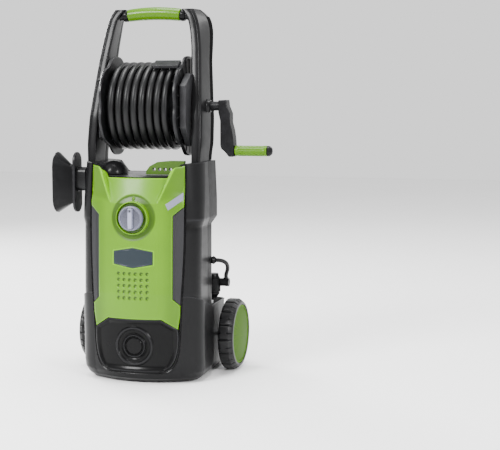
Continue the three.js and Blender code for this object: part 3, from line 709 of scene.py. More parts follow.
def housing_grid(plan, low, high, rows, settle=5):
    """Grid between two edges: each column's plan is tabled by height, its ends are found by repetition."""
    pitch = 2.0
    levels = np.arange(0.0, 524.0, pitch)[:, None]
    table_x, table_y = (np.broadcast_to(side, (len(levels), side.shape[1])) for side in plan(levels))
    column = np.arange(table_x.shape[1])

    def at(z):
        k = np.clip((z / pitch).astype(int), 0, len(levels) - 2)
        part = z / pitch - k
        return [side[k, column] * (1 - part) + side[k + 1, column] * part for side in (table_x, table_y)]

    ends = []
    for edge in (low, high):
        z = np.full((1, len(column)), 200.0)
        for _ in range(settle):
            z = edge(*at(z))
        ends.append(z)
    z = ends[0] + np.linspace(0, 1, rows)[:, None] * (ends[1] - ends[0])
    x, y = at(z)
    return np.stack([x, y, z], -1)


def frame_edge(z):
    """How far out the upper housing starts, just beside the front frame."""
    widths, heights = np.array(FRAME_HALF[2:]).T
    return np.interp(z, heights, widths) + 0.4


def front_plan(z):
    """Right half of the front housing: from the front frame round the corner and back to the split."""
    t = np.sin(np.linspace(0, 1, 26) * np.pi / 2)[None]
    half = level(UPPER_LEVELS, z, 1)
    x = frame_edge(z) + (half - frame_edge(z)) * t
    y = corner_depth(x, z, UPPER_LEVELS)
    s = np.linspace(0, 1, 30)[None, 1:]
    end = corner_depth(half, z, UPPER_LEVELS)
    return np.concatenate([x, half + 0 * s], 1), np.concatenate([y, end + (SPLIT - end) * s], 1)


def rear_plan(z):
    """Right half of the rear housing: side wall from the split, a quarter circle, half of the rear wall."""
    half, rear, radius = (level(UPPER_LEVELS, z, column) for column in (1, 5, 6))
    s = np.linspace(0, 1, 14)[None]
    angle = np.linspace(0, np.pi / 2, 14)[None, 1:]
    back = np.linspace(1, 0, 46)[None, 1:]
    start = SPLIT + 0.4
    x = [half + 0 * s, half - radius + radius * np.cos(angle), (half - radius) * back]
    y = [start + (rear - radius - start) * s, rear - radius + radius * np.sin(angle), rear + 0 * back]
    return np.concatenate(x, 1), np.concatenate(y, 1)


def both_sides(grid):
    """Columns of the right half and their mirror image, as one grid that runs on to the left."""
    return np.concatenate([grid, grid[:, -2::-1] * [-1, 1, 1]], 1)


def base_plan(z):
    """Right half of the base: round front, corner, side, step in for the wheel, cheek, rear corner, rear."""
    half = level(BASE_LEVELS, z, 1)
    wide, corner_radius, rear = 113.0, 22, 188
    narrow = np.minimum(half, WHEEL_RECESS["x"])
    front = wide * np.sin(np.linspace(0, 1, 40) * np.pi / 2)[None] + 0 * z
    corner = wide + (half - wide) * np.sin(np.linspace(0, 1, 16) * np.pi / 2)[None, 1:]
    s = np.linspace(0, 1, 14)[None, 1:]
    end = corner_depth(half, z, BASE_LEVELS)
    recess = WHEEL_RECESS["start"]
    angle = np.linspace(0, np.pi / 2, 9)[None, 1:]
    back = np.linspace(1, 0, 10)[None, 1:]
    inner = narrow - corner_radius
    turn = rear - corner_radius
    x = [front, corner, half + 0 * s, half - 1.2, half + (narrow - half) * s[:, 4:], narrow + 0 * s,
         inner + corner_radius * np.cos(angle), inner * back]
    y = [corner_depth(front, z, BASE_LEVELS), corner_depth(corner, z, BASE_LEVELS),
         end + (recess - 1.2 - end) * s, recess + 0 * z, recess + 0 * s[:, 4:] + 0 * z,
         recess + (turn - recess) * s + 0 * z, turn + corner_radius * np.sin(angle) + 0 * z,
         rear + 0 * back + 0 * z]
    return np.concatenate(x, 1), np.concatenate(y, 1)


def base_top(x, y):
    """Top edge of the base: under the front frame it follows the frame's outline, elsewhere the joint."""
    outline = rounded(FRAME_HALF[:7], 3)
    under_frame = np.interp(x, outline[:, 0], outline[:, 1] - 0.4, right=400)
    return np.where(y < 0, np.minimum(under_frame, joint_height(y)), joint_height(y))


def front_band(outer, inner, count):
    """Both outlines of the front frame with matching points, from the top right round to the top left."""
    right = rounded(np.hstack([outer, inner]), 3)[::-1]
    whole = np.concatenate([right, right[-2::-1] * [-1, 1, -1, 1]])
    travel = np.concatenate([[0], np.cumsum(np.linalg.norm(np.diff(whole[:, :2], axis=0), axis=1))])
    at = np.linspace(0, travel[-1], count)
    return np.stack([np.interp(at, travel, column) for column in whole.T], 1)


def frame_profile(t):
    """Height of the front frame across its band: a bead at the outer edge, a groove, then a soft fall."""
    return 0.9 * bell(t, 0.12, 0.13) - 0.8 * bell(t, 0.42, 0.1) - 0.8 * ease(t, 0.55, 1.0)


def panel_grid(half_width, bottom, top, step):
    """Grid of a front panel: x is u times the half width at a height, and the edges are functions of u.

    The third value is the distance in from the nearest edge."""
    heights = np.array([half_width[0][0], half_width[-1][0]])
    rows = int(np.ptp(heights) / step)
    cols = int(2 * max(width for _, width in half_width) / step) | 1
    u = np.linspace(-1, 1, cols)[None]
    v = np.linspace(0, 1, rows)[:, None]
    low, high = bottom(np.abs(u)), top(np.abs(u))
    z = low + v * (high - low)
    levels = np.array(half_width, float)
    x = u * np.interp(z, levels[:, 0], levels[:, 1])
    edge = np.minimum.reduce([(1 - np.abs(u)) * np.abs(levels[:, 1]).max() + 0 * z, z - low, high - z])
    return x, z, edge


def panel(grid, out, depth):
    """A front panel as a plate: its face stands out by a function of the grid, its back lies at a depth."""
    x, z, edge = grid
    return front_plate(x, z, out(x, z, edge), -depth)


def paint(piece, tone):
    """Give each point a tone of painted light: over 0 is painted shade, below 0 is painted highlight.

    The tone is an array for the first points, such as a panel's face, or a function of x, y and height."""
    values = np.zeros(len(piece.data.vertices), np.float32)
    if callable(tone):
        points = np.empty(3 * len(values))
        piece.data.vertices.foreach_get("co", points)
        tone = tone(*(points.reshape(-1, 3).T / MM))
    values[:tone.size] = np.clip(tone, -1, 1).ravel()
    piece.data.attributes.new("tone", "FLOAT", "POINT").data.foreach_set("value", values)


def dimples(x, z, crescent=0.0):
    """Rows of small round pits; with a crescent, each pit less a smaller disc set to its lower right, the
    shape of the painted shade in each pit.
    """
    wide, tall = DIMPLES["pitch"]
    columns = (x - DIMPLES["x"]) / wide
    rows = (z - DIMPLES["z"]) / tall
    near_x = (columns - np.clip(np.round(columns), 0, DIMPLES["columns"] - 1)) * wide
    near_z = (rows - np.clip(np.round(rows), 0, DIMPLES["rows"] - 1)) * tall
    pit = 1 - ease(np.hypot(near_x, near_z), 3.6, 5.0)
    bare = 1 - ease(np.hypot(near_x - 2.2, near_z + 1.0), 1.8, 3.0)
    return pit * (1 - crescent * bare)


def dial_pointer(x, z):
    """The plain pointer at the top of the dial's dish: 1 on the small diamond."""
    return ease(5.0 - np.abs(x) * 1.9 - np.abs(z - KNOB[2] - POINTER_RISE), 0.0, 1.6)


def beside_crease(x, z):
    """Height above the start of the creases, and how far a point lies outside the nearer crease."""
    rise = np.maximum(z - CREASE["start"], 0)
    return rise, np.abs(x) - CREASE["half"] - rise * CREASE["spread"]


def beside_badge(x, z):
    """How far a point lies outside the six-sided outline of the badge."""
    ends = BADGE["drop"] * np.abs(x) / BADGE["width"]
    return np.maximum(np.abs(x) - BADGE["width"], np.abs(z - BADGE["z"]) - BADGE["height"] + ends)


def cover_height(x, z, edge):
    """Height of the lime cover: crown at the rim, a dish round the dial with a pointer, and the dimples."""
    distance = np.hypot(x, z - KNOB[2])
    inner, outer = KNOB_DISH
    dish = band(distance, inner - 2, inner, outer - 9, outer)
    raised = 1.5 - 1.9 * np.maximum(dish, 1 - ease(distance, 38, 39)) + 1.7 * dial_pointer(x, z)
    rim = 0.7 * (1 - ease(edge, 0.0, 2.4))
    rise, beyond = beside_crease(x, z)
    ear = 0.14 * np.maximum(beyond - 3.5, 0) * ease(rise, 0, 30)
    ridge = 0.9 * np.exp(-((beyond - 2.6) ** 2) / 2.2) + 0.5 * np.exp(-((beyond + 4.5) ** 2) / 2.0)
    ridge = ridge * ease(rise, -4, 12)
    badge = 0.9 * (1 - ease(beside_badge(x, z), 0, 1.4))
    return raised - 1.5 * dimples(x, z) - rim - badge * 0.6 - ear + ridge


def shoulder_painted_light(x, y, z):
    """Painted light on the upper housing: painted highlight along the shoulder and the top edge, painted
    shade just under the shoulder.
    """
    pale = bell(z, 385.5, 1.6) + (1 - ease(np.abs(z - 519), 1.0, 2.5))
    return 0.9 * band(z, 352, 368, 374, 383) - 0.7 * pale


def rim_painted_highlight(x, y, z):
    """Painted highlight on the base, along its top edge only."""
    below = base_top(np.abs(x), y) - z
    return -0.6 * (1 - ease(np.abs(below), 1.0, 2.5)) * (z > 150)


def cover_painted_light(x, z, edge):
    """Painted light on the lime cover: painted shade in the pits and the dish, lighter painted shade on the
    outer facets and the lower sides, painted highlight along the creases, the rims and round the badge.
    """
    distance = np.hypot(x, z - KNOB[2])
    dish = band(distance, 38.5, 40, 51.5, 55)
    pointer = dial_pointer(x, z)
    rise, beyond = beside_crease(x, z)
    width = 1.5 + 0.07 * rise
    crease = ease(beyond, -1.5, 0) * (1 - ease(beyond, width, width + 1.5)) * ease(rise, 0, 14)
    facet_shade = ease(beyond, width, width + 3) * ease(rise, -4, 20)
    sides = ease(np.abs(x), 60, 92) * (1 - ease(rise, 0, 20))
    rim = 1 - ease(edge, 0.8, 2.6)
    badge_surround_highlight = 1 - ease(np.abs(beside_badge(x, z) - 1.6), 0.6, 1.8)
    # painted shade from the pits, the dish, the outer facets and the sides; painted highlight from the
    # creases, the rims and round the badge
    deep = np.maximum.reduce([dimples(x, z, 1.0), 0.8 * dish * (1 - pointer), 0.42 * facet_shade, 0.34 * sides])
    return deep - 0.8 * crease - 0.5 * rim - 0.6 * badge_surround_highlight


def lower_cover_painted_light(x, z, edge):
    """Painted light on the lower cover: painted highlight on the lip and the ring crowns, painted shade in
    the wells and at the foot of the sloping band.
    """
    distance = np.hypot(x, z - LOWER_RINGS_Z)
    crowns = bell(distance, 43, 2.0) + bell(distance, 25.5, 1.6)
    wells = bell(distance, 33, 3.0) + bell(distance, 20.5, 1.6)
    return 0.8 * wells + 0.6 * bell(edge, 12.5, 2.0) - 0.45 * crowns - 0.7 * (1 - ease(edge, 1.0, 3.0))


def lower_cover_height(x, z, edge):
    """Height of the lower cover: a lip, a sloping band into a flat field, two rings and a middle disc."""
    distance = np.hypot(x, z - LOWER_RINGS_Z)
    field = 2.6 - 0.7 * (1 - ease(edge, 0, 1.6)) - 5.2 * ease(edge, 3.5, 13.5)
    outer = 3.4 * band(distance, 38, 41, 44.5, 47.5)
    inner = 3.6 * band(distance, 22.4, 24, 26, 28.5)
    well = -1.6 * (1 - ease(distance, 30, 32)) + inner
    disc = 2.4 * (1 - ease(distance, 18.5, 20.5))
    return field + outer + well + disc


def patch(corners, count=24):
    """Flat grid between four corners (x, height), bent later onto the front."""
    a, b, c, d = (np.array(corner, float) for corner in corners)
    u = np.linspace(0, 1, count)[None, :, None]
    v = np.linspace(0, 1, count)[:, None, None]
    return (1 - v) * ((1 - u) * a + u * b) + v * ((1 - u) * d + u * c)


class WASHER_OT_casing(bpy.types.Operator):
    """Build the base with its ribbed deck, the two halves of the upper housing and the front frame"""
    bl_idname = "washer.casing"
    bl_label = "Casing"

    def execute(self, context):
        sizes = context.scene.washer_casing
        wall, edge = sizes.wall / MM, sizes.edge
        top = lambda x, y: saddle_height(x)
        bottom = lambda x, y: joint_height(y) + 0.4
        side = shell(housing_grid(front_plan, bottom, top, 110), wall)
        piece = add_piece("front_housing_shell", [side, mirrored(side)], "charcoal", "machine",
                          ["front_housing"], edge)
        # painted highlight along the shoulder and the top edge, painted shade under the shoulder
        paint(piece, shoulder_painted_light)
        rear = both_sides(housing_grid(rear_plan, bottom, top, 130))
        x, y, z = np.moveaxis(rear, -1, 0)
        slot_row = np.mod(z - VENTS["low"], VENTS["pitch"])
        inside = (np.abs(x) < VENTS["half"]) & (y > 90) & (z > VENTS["low"] - 1) & (z < VENTS["high"])
        rear[..., 1] -= VENTS["depth"] * inside * (1 - ease(np.abs(slot_row - 2.5), 2.0, 3.2))
        piece = add_piece("rear_housing_shell", shell(rear, wall), "rear", "machine", ["rear_housing"], edge)
        # painted highlight along the shoulder and the top edge, painted shade under the shoulder
        paint(piece, shoulder_painted_light)
        self.base(wall, edge)
        band = front_band(FRAME_HALF, OPENING_HALF, 320)
        t = np.linspace(0, 1, 13)[None]
        x = band[:, :1] + (band[:, 2:3] - band[:, :1]) * t
        z = band[:, 1:2] + (band[:, 3:4] - band[:, 1:2]) * t
        bezel = front_plate(x, z, frame_profile(t) + 0 * x, -5)
        add_piece("front_frame_bezel", bezel, "charcoal_fine", "machine", ["front_frame"], edge * 0.6)
        return {"FINISHED"}

    def base(self, wall, edge):
        """The base with its floor and edge, and the ribbed deck behind the upper housing."""
        lower = lambda x, y: 0 * x
        grid = housing_grid(base_plan, lower, base_top, 96)
        loop = np.concatenate([grid, grid[:, -2:0:-1] * [-1, 1, 1]], 1)
        middle = np.array([0.0, 60.0, 0.0])
        floor = [middle + (loop[0] - middle) * f for f in (0.0, 0.5, 0.9, 0.97)]
        shell_part = bowl(np.concatenate([np.array(floor), loop]), wall)
        x, y = np.meshgrid(np.linspace(-139, 139, 60), np.linspace(87, 184, 24))
        low = np.stack([x, y, np.full_like(x, 162.0)], -1)
        ribs = 1.2 * (1 - ease(np.abs(np.mod(x, 40.0) - 20.0), 1.2, 2.4))
        deck = slab(low + [0, 0, 3.6] + ribs[..., None] * [0, 0, -1], low)
        base = add_piece("base_housing_shell", shell_part, "charcoal", "machine", ["base_housing"], edge)
        add_piece("base_deck", deck, "matte", "machine", (), edge * 0.5)
        # painted highlight along the base's top edge
        paint(base, rim_painted_highlight)


class WASHER_OT_covers(bpy.types.Operator):
    """Build the lime front cover, the lower cover, the side trims, the stripe and the badge plate"""
    bl_idname = "washer.covers"
    bl_label = "Front covers"

    def execute(self, context):
        sizes = context.scene.washer_casing
        step, edge = sizes.cover_step / MM, sizes.edge
        low = lambda u: np.interp(u, [0, 0.63, 1], [155.5, 155.5, 132])
        high = lambda u: np.interp(u, [0, 0.648, 0.735, 0.834, 1], [482.5, 482.5, 499, 508, 511])
        grid = panel_grid(COVER_WIDTHS, low, high, step)
        cover = add_piece("front_cover_panel", panel(grid, cover_height, 4.0), "lime", "machine",
                          ["front_cover"], edge * 0.7, 34)
        # painted shade and painted highlight on the lime cover
        paint(cover, cover_painted_light(*grid))
        lower_widths = [(z, x) for x, z in rounded(LOWER_COVER_HALF, 2)]
        low = lambda u: 31 + 0 * u
        high = lambda u: np.interp(u, [0, 0.63, 1], [154.8, 154.8, 131])
        grid = panel_grid(lower_widths, low, high, step * 0.8)
        cover = add_piece("lower_front_cover_panel", panel(grid, lower_cover_height, 5.0), "lower", "machine",
                          ["lower_front_cover"], edge * 0.7, 34)
        # painted shade and painted highlight on the lower cover
        paint(cover, lower_cover_painted_light(*grid))
        self.trims(edge)
        self.stripe(edge)
        self.badge(edge)
        return {"FINISHED"}

    def trims(self, edge):
        """The two side trims beside the cover's waist: bulging outwards, with a groove down each."""
        trim = patch(TRIM_CORNERS, 40)
        u = np.linspace(0, 1, 40)[None]
        bulge = 1.4 * np.sin(np.linspace(0, np.pi, 40))[:, None] * u
        for name, side in (("right", 1), ("left", -1)):
            x, z = side * (trim[..., 0] + bulge * 1.6), trim[..., 1]
            out = -0.3 - 1.6 * bell(u, 0.22, 0.1) + 0 * x
            add_piece(f"side_trim_{name}_panel", front_plate(x, z, out, -3), "trim", "machine",
                      [f"side_trim_{name}"], edge * 0.7)

    def stripe(self, edge):
        """The slanted silver stripe in the cover's right shoulder."""
        stripe = patch(STRIPE_CORNERS, 20)
        x, z = stripe[..., 0], stripe[..., 1]
        add_piece("accent_stripe_inlay", front_plate(x, z, 1.9, 0.6), "silver", "machine",
                  ["accent_stripe"], edge * 0.4)

    def badge(self, edge):
        """A plain six-sided plate with a shallow line inside its rim."""
        middle, half, drop = BADGE["z"], BADGE["height"], BADGE["drop"]
        widths = [(middle - half, BADGE["width"]), (middle + half, BADGE["width"])]
        low = lambda u: middle - half + drop * u
        high = lambda u: middle + half - drop * u
        face = lambda x, z, gap: 2.1 - 0.5 * bell(gap, 2.6, 0.7)
        grid = panel_grid(widths, low, high, 1.0)
        add_piece("badge_plate_inlay", panel(grid, face, -0.6), "slate", "machine", ["badge_plate"],
                  edge * 0.5)


class WASHER_OT_dial(bpy.types.Operator):
    """Build the dial ring and the round knob with its finger bar"""
    bl_idname = "washer.dial"
    bl_label = "Dial"

    def execute(self, context):
        centre = (0, 0, KNOB[2])
        ring = [(35.6, -99.6), (35.6, -107.0), (36.6, -108.5), (38.2, -108.2), (39, -105.8), (39, -99.6)]
        seat = [(30.2, -100), (30.2, -102.6), (31, -103), (35.4, -103), (35.4, -100)]
        # the dial seat is lime darkened as painted shade in the groove round the knob
        for name, outline, finish, stands_for in (("dial_ring_rim", ring, "lime", ["dial_ring"]),
                                                  ("dial_seat", seat, "lime_painted_shade", ())):
            outline = rounded(outline, 2)
            loop = np.concatenate([outline, outline[:1]])
            add_piece(name, turned("y", loop, centre, 96), finish, "machine", stands_for)
        rim = [(0, -104.6), (27.6, -104.6), (29, -106), (29.2, -113.4), (28.2, -116.6), (26.4, -117.4),
               (24.6, -116.8), (23.4, -114.2)]
        face = [(radius, -113.2) for radius in np.linspace(22.6, 0.0, 46)]
        points, faces = turned("y", rounded(rim, 1).tolist() + face, centre, 192)
        x, z = points[:, 0], points[:, 2] - KNOB[2]
        half = 6.4 - 0.8 * np.abs(z) / 26
        bar = (1 - ease(np.abs(x), half - 1.6, half)) * (1 - ease(np.abs(z), 24.5, 26.5))
        dot = 1.1 * (1 - ease(np.hypot(x, z - 17.5), 1.5, 2.4))
        on_face = (points[:, 1] < -112.6) & (np.hypot(x, z) < 27.0)
        top = -120.4 + 0.02 * z + dot
        points[:, 1] += np.where(on_face, bar * (top - points[:, 1]), 0)
        spindle = turned("y", [(0, -105.5), (7, -105.5), (7, -62), (0, -62)], centre, 32)
        add_piece("switch_knob_turned", [(points, faces), spindle], "knob", "dial", ["switch_knob"], 0, 30)
        return {"FINISHED"}


# ---- handle ----------------------------------------------------------------------------------
# height, inner x, front, depth, width and the slope by which the post leans outwards at the back
POST_LEVELS = np.array([
    (440, 118, -29, 88, 20, 0.03), (535, 118.5, -28, 94, 22, 0.03), (560, 118, -25, 100, 24, 0.03),
    (621, 116, -15, 102, 24, 0.03), (662, 112.5, -4, 98, 24, 0.03), (756, 104, 22, 84, 24, 0.06),
    (791, 100, 34, 82, 24, 0.1), (828, 94, 44, 84, 24, 0.14), (852, 88, 48, 80, 24, 0.17),
    (868, 80, 51, 70, 26, 0.18), (878, 70, 55, 46, 28, 0.18)], float)
# closed section of a post: across in mm, part of the depth from the front, offset in mm
POST_SECTION = np.array([
    (-10, 0, 3), (-10, 0.74, 0), (-8.8, 0.74, 0.8), (-8.8, 0.74, 2.2), (-10, 0.74, 3), (-10, 1, -4),
    (-7.5, 1, 0), (7.5, 1, 0), (10, 1, -4), (10, 0.74, 3), (8.8, 0.74, 2.2), (8.8, 0.74, 0.8), (10, 0.74, 0),
    (10, 0, 5.5), (8.6, 0, 1.8), (5.4, 0, 0.5), (4.9, 0, 2.0), (3.5, 0, 2.0), (3.0, 0, 0), (-8, 0, 0)], float)
# strip of matte plastic let into the outer face of a post, along its back edge, as painted shade where that
# edge falls into shade
POST_SHADE_STRIP = np.array([(9.4, 0.752, 0), (10.25, 0.752, 0), (10.25, 0.965, 0), (9.4, 0.965, 0)], float)
# boss on the right post for the crank's shaft: radius, x
POST_BOSS = [(11.6, 128), (17, 128), (17, 139), (15.4, 141), (14.6, 146), (13.2, 147), (11.6, 147),
             (11.6, 128)]
ARCH_DROP = 4.0


def post(side, outline=POST_SECTION, low=440, high=878):
    """A post: its section carried up through the levels, averaged a little so that its bends are soft."""
    z = np.linspace(low, high, 150)
    window = np.hanning(15)
    window /= window.sum()
    columns = []
    for column in (1, 2, 3, 4, 5):
        padded = np.pad(level(POST_LEVELS, z, column), 7, "reflect", reflect_type="odd")
        columns.append(np.convolve(padded, window, "valid")[:, None])
    inner, front, depth, width, toe = columns
    section = rounded(outline, 2, closed=True)
    y = front + section[:, 1] * depth + section[:, 2]
    x = inner + (0.5 + section[:, 0] / 20) * width + (y - front) * toe
    rings = np.stack(np.broadcast_arrays(side * x, y, z[:, None]), -1)
    return tube_solid(rings)


class WASHER_OT_handle(bpy.types.Operator):
    """Build the two handle posts, the crossbar, its collars and the lime grip"""
    bl_idname = "washer.handle"
    bl_label = "Handle"

    def execute(self, context):
        for name, side in (("left", -1), ("right", 1)):
            parts = [post(side)]
            if side > 0:
                parts.append(turned("x", POST_BOSS, AXLE, 72))
            add_piece(f"{name}_post_moulding", parts, "post", "machine", [f"{name}_post"], 0, 30)
        # matte bands on the posts: painted shade along their back edges
        shade_strips = [post(side, POST_SHADE_STRIP, 521, 862) for side in (-1, 1)]
        add_piece("post_strips", shade_strips, "matte", "machine")
        low, high = corners_of("handle_grip")
        half, middle_y, middle_z = high[0], (low[1] + high[1]) / 2, (low[2] + high[2]) / 2
        radius = (high[2] - low[2]) / 2

        def arch(x):
            """Points of the crossbar's shallow arch."""
            return np.stack([x, np.full(len(x), middle_y), middle_z - ARCH_DROP * (x / half) ** 2], 1)

        x = np.linspace(-1, 1, 121)
        ends = np.sqrt(np.maximum(1 - np.maximum((np.abs(x) - 0.965) / 0.035, 0) ** 2, 0.0))
        swell = radius - 0.9 * (1 - np.cos(np.abs(x) * np.pi / 2))
        sleeve = carried(arch(np.linspace(-half, half, 121)), 10.6 + (swell - 10.6) * ends, 48)
        add_piece("handle_grip_sleeve", sleeve, "lime_grip", "machine", ["handle_grip"])
        tube = carried(arch(np.linspace(-88, 88, 60)), 9.8, 32)
        add_piece("crossbar_tube", tube, "charcoal", "machine", ["crossbar"])
        collars = []
        for side in (-1, 1):
            reach = np.linspace(half + 0.6, half + 12, 12)
            swell = np.interp(reach - half, [0, 2, 8, 12], [12.4, 14.2, 14.2, 12.6])
            collars.append(carried(arch(side * reach), swell, 40))
        add_piece("grip_collars", collars, "black", "machine")
        return {"FINISHED"}


# ---- hose reel -------------------------------------------------------------------------------
def flange(side):
    """Reel flange: at each angle a closed loop runs out along the outer face and back along the inner one."""
    half, thick, bore = 87.0, 8.0, 9.6
    widest, lobe_depth, lobes, pocket_radius = 118, 9, 6, 50
    angle = np.arange(288) * 2 * np.pi / 288
    lobe = widest - lobe_depth * (0.5 + 0.5 * np.cos(lobes * angle)) ** 3
    t = np.linspace(0, 1, 60)
    radius = bore + (lobe[:, None] - bore) * t
    turn = np.mod(angle, np.pi / 3) - np.pi / 6
    pocket = np.hypot(radius * np.cos(turn)[:, None] - pocket_radius, radius * np.sin(turn)[:, None] * 0.9)
    rib = np.exp(-((np.mod(angle[:, None] + np.pi / 24, np.pi / 12) - np.pi / 24) * radius / 1.5) ** 2)
    out = thick - 1.6 - 5.0 * (1 - ease(pocket, 15, 19))
    from_rim = lobe[:, None] - radius
    out = out + 1.6 * (1 - ease(from_rim, 3, 5)) + 1.2 * rib * ease(radius, 74, 78) * ease(from_rim, 5, 8)
    out = out + 2.0 * (1 - ease(radius, 20, 23))
    out = out * np.sqrt(np.clip((1.0 - t) / 0.03, 0, 1) * 0.6 + 0.4)
    back = 1.1 * (1 - np.sqrt(np.clip((1.0 - t) / 0.03, 0, 1))) + 0 * radius
    loop_radius = np.concatenate([radius, radius[:, ::-1]], 1)
    loop_out = np.concatenate([out, back[:, ::-1]], 1)
    x = side * (half + loop_out)
    return tube_solid(np.stack([x, AXLE[1] + loop_radius * np.cos(angle)[:, None],
                                AXLE[2] + loop_radius * np.sin(angle)[:, None]], -1), closed=True)


def around_reel(x, turn, radius):
    """Point beside the axle of the reel: turn 0 is straight up and turns grow towards the front."""
    return np.stack([AXLE[0] + x, AXLE[1] - np.sin(turn) * radius, AXLE[2] + np.cos(turn) * radius], -1)


HOSE_END = {"x": 71.0, "turn": -1.2, "reach": 20.0}


def hose_route(inner, outer, reach):
    """Two layers of turns: the inner one runs to the left, the outer one back to the right to its end."""
    left, right = -77.5, HOSE_END["x"]
    outer_turns, start = 7.86, 74.0
    climb = 0.25
    lap = np.hypot(2 * np.pi * outer, (right - left) / outer_turns)
    rest = reach - outer_turns * lap - climb * 2 * np.pi * (inner + outer) / 2
    inner_turns = rest / np.hypot(2 * np.pi * inner, (start - left) / (rest / (2 * np.pi * inner)))
    total = inner_turns + climb + outer_turns
    turn = np.linspace(0, total, int(total * 44) + 1)
    radius = inner + (outer - inner) * ease(turn, inner_turns, inner_turns + climb)
    x = np.interp(turn, [0, inner_turns, inner_turns + climb, total], [start, left, left, right])
    last = HOSE_END["turn"] + HOSE_END["reach"] / outer
    radius = radius + 2.0 * ease(turn, total - 0.1, total)
    return around_reel(x, last + (total - turn) * 2 * np.pi, radius)


class WASHER_OT_hose(bpy.types.Operator):
    """Wind the high pressure hose on the drum in two layers, with its end fitting behind the reel"""
    bl_idname = "washer.hose"
    bl_label = "Hose"

    def execute(self, context):
        sizes = context.scene.washer_hose
        diameter = sizes.diameter / MM
        route = hose_route(sizes.inner_radius / MM, sizes.outer_radius / MM, sizes.reach / MM)
        piece = add_piece("hose", carried(route, diameter / 2, 22, reference=(1.0, 0.0, 0.0)), "hose", "reel",
                          ["hose_winding"])
        fitting = self.fitting()
        return {"FINISHED"}

    def fitting(self):
        """Crimped ferrule, hexagon and threaded nose, turned along the hose's last direction."""
        along = np.array([0, -np.cos(HOSE_END["turn"]), -np.sin(HOSE_END["turn"])])
        middle = around_reel(HOSE_END["x"], HOSE_END["turn"], 97.0)
        at = np.linspace(20, -22, 120)
        radius = np.interp(at, [-22, -21, -13, -12, -4, -3.4, 19, 20], [5, 5.8, 5.8, 9.5, 9.5, 8.8, 8.8, 8.2])
        radius = radius + np.where(at > -2, 0.35 * np.sin(at * 2.6), 0)
        radius = radius + np.where(at < -13, 0.25 * np.sin(at * 5), 0)
        path = middle + at[:, None] * along
        body = carried(path, radius, 32, reference=(1.0, 0.0, 0.0))
        return add_piece("hose_end_fitting_crimped", body, "brass", "reel", ["hose_end_fitting"], 0, 25)


# half of the drum as a closed profile: radius, distance from the middle
DRUM_WALL = [(70, 0.4), (73.4, 0.4), (73.4, 90), (70, 90), (70, 0.4)]
# outline of the right cheek, between the reel and its post: y, height
CHEEK = [(-44, 598), (-44, 696), (0, 724), (60, 724), (72, 710), (72, 580), (60, 556), (0, 554)]


class WASHER_OT_reel(bpy.types.Operator):
    """Build the two flanges with their drum halves, the hose clip, the swivel and the cheeks"""
    bl_idname = "washer.reel"
    bl_label = "Reel"

    def execute(self, context):
        for name, side in (("left", -1), ("right", 1)):
            wall = turned("x", [(radius, side * at) for radius, at in DRUM_WALL], AXLE, 96)
            add_piece(f"reel_half_{name}_flange", [flange(side), wall], "charcoal", "reel",
                      [f"reel_half_{name}"], 0, 32)
        rings = [np.column_stack([np.full(len(CHEEK), x), CHEEK]) for x in (96.6, 112)]
        add_piece("right_cheek_plate", tube_solid(np.stack(rings)), "cheek", "machine",
                  ["right_cheek"], 0.0024)
        refined("left_cheek", "charcoal", 0.0016)
        refined("hose_clip", "charcoal", 0.0014)
        refined("reel_swivel", "brass", 0.0006)
        refined("crank_shaft", "black", 0.0008)
        return {"FINISHED"}


class WASHER_OT_crank(bpy.types.Operator):
    """Build the crank arm, its fluted grip and the end cap"""
    bl_idname = "washer.crank"
    bl_label = "Crank"

    def execute(self, context):
        refined("crank_arm", "black", 0.002)
        low, high = corners_of("crank_grip")
        centre = np.array([0, (low[1] + high[1]) / 2, (low[2] + high[2]) / 2])
        radius = (high[2] - low[2]) / 2
        start, end = low[0], high[0]
        span = np.linspace(start + 5, end - 5, 30)
        profile = [(5.6, start), (radius - 2.2, start), (radius - 0.4, start + 1), (radius, start + 3),
                   (radius - 0.6, start + 4.4)]
        profile += [(radius - 0.5, x) for x in span]
        profile += [(radius - 0.6, end - 4.4), (radius, end - 3), (radius - 0.6, end - 0.6), (5.6, end),
                    (5.6, start)]

        def flutes(angle, points):
            """Fourteen lengthwise hollows between the two end rings."""
            between = band(points[:, 1], start + 6, start + 10, end - 10, end - 6)
            deep = np.abs(np.sin(angle * 7)) ** 2
            return 1 - 0.075 * (between * (points[:, 0] > 8))[:, None] * deep[None]

        add_piece("crank_grip_fluted", turned("x", profile, centre, 168, flutes), "lime_grip", "crank_handle",
                  ["crank_grip"], 0, 30)
        refined("crank_grip_cap", "black", 0.0012)
        return {"FINISHED"}


# ---- wheels ----------------------------------------------------------------------------------
# outline of the tyre, radius and distance out: inner wall, shoulders, tread and the lip that holds the disc
TYRE = [(68.5, 162), (76, 162), (83, 162.6), (85.8, 164.4)]
TYRE += [(87, at) for at in np.linspace(167, 188.5, 14)]
TYRE += [(86, 190), (83.4, 193.4), (80.6, 197), (79, 198.6), (76, 199), (73, 199), (72.5, 193.4), (68.5, 193),
         (68.5, 162)]
DISC_RIM = [(0, 193.6), (71.8, 193.6), (72.1, 196), (71.6, 197.4), (70, 198.2), (68, 198), (66.6, 196.8)]


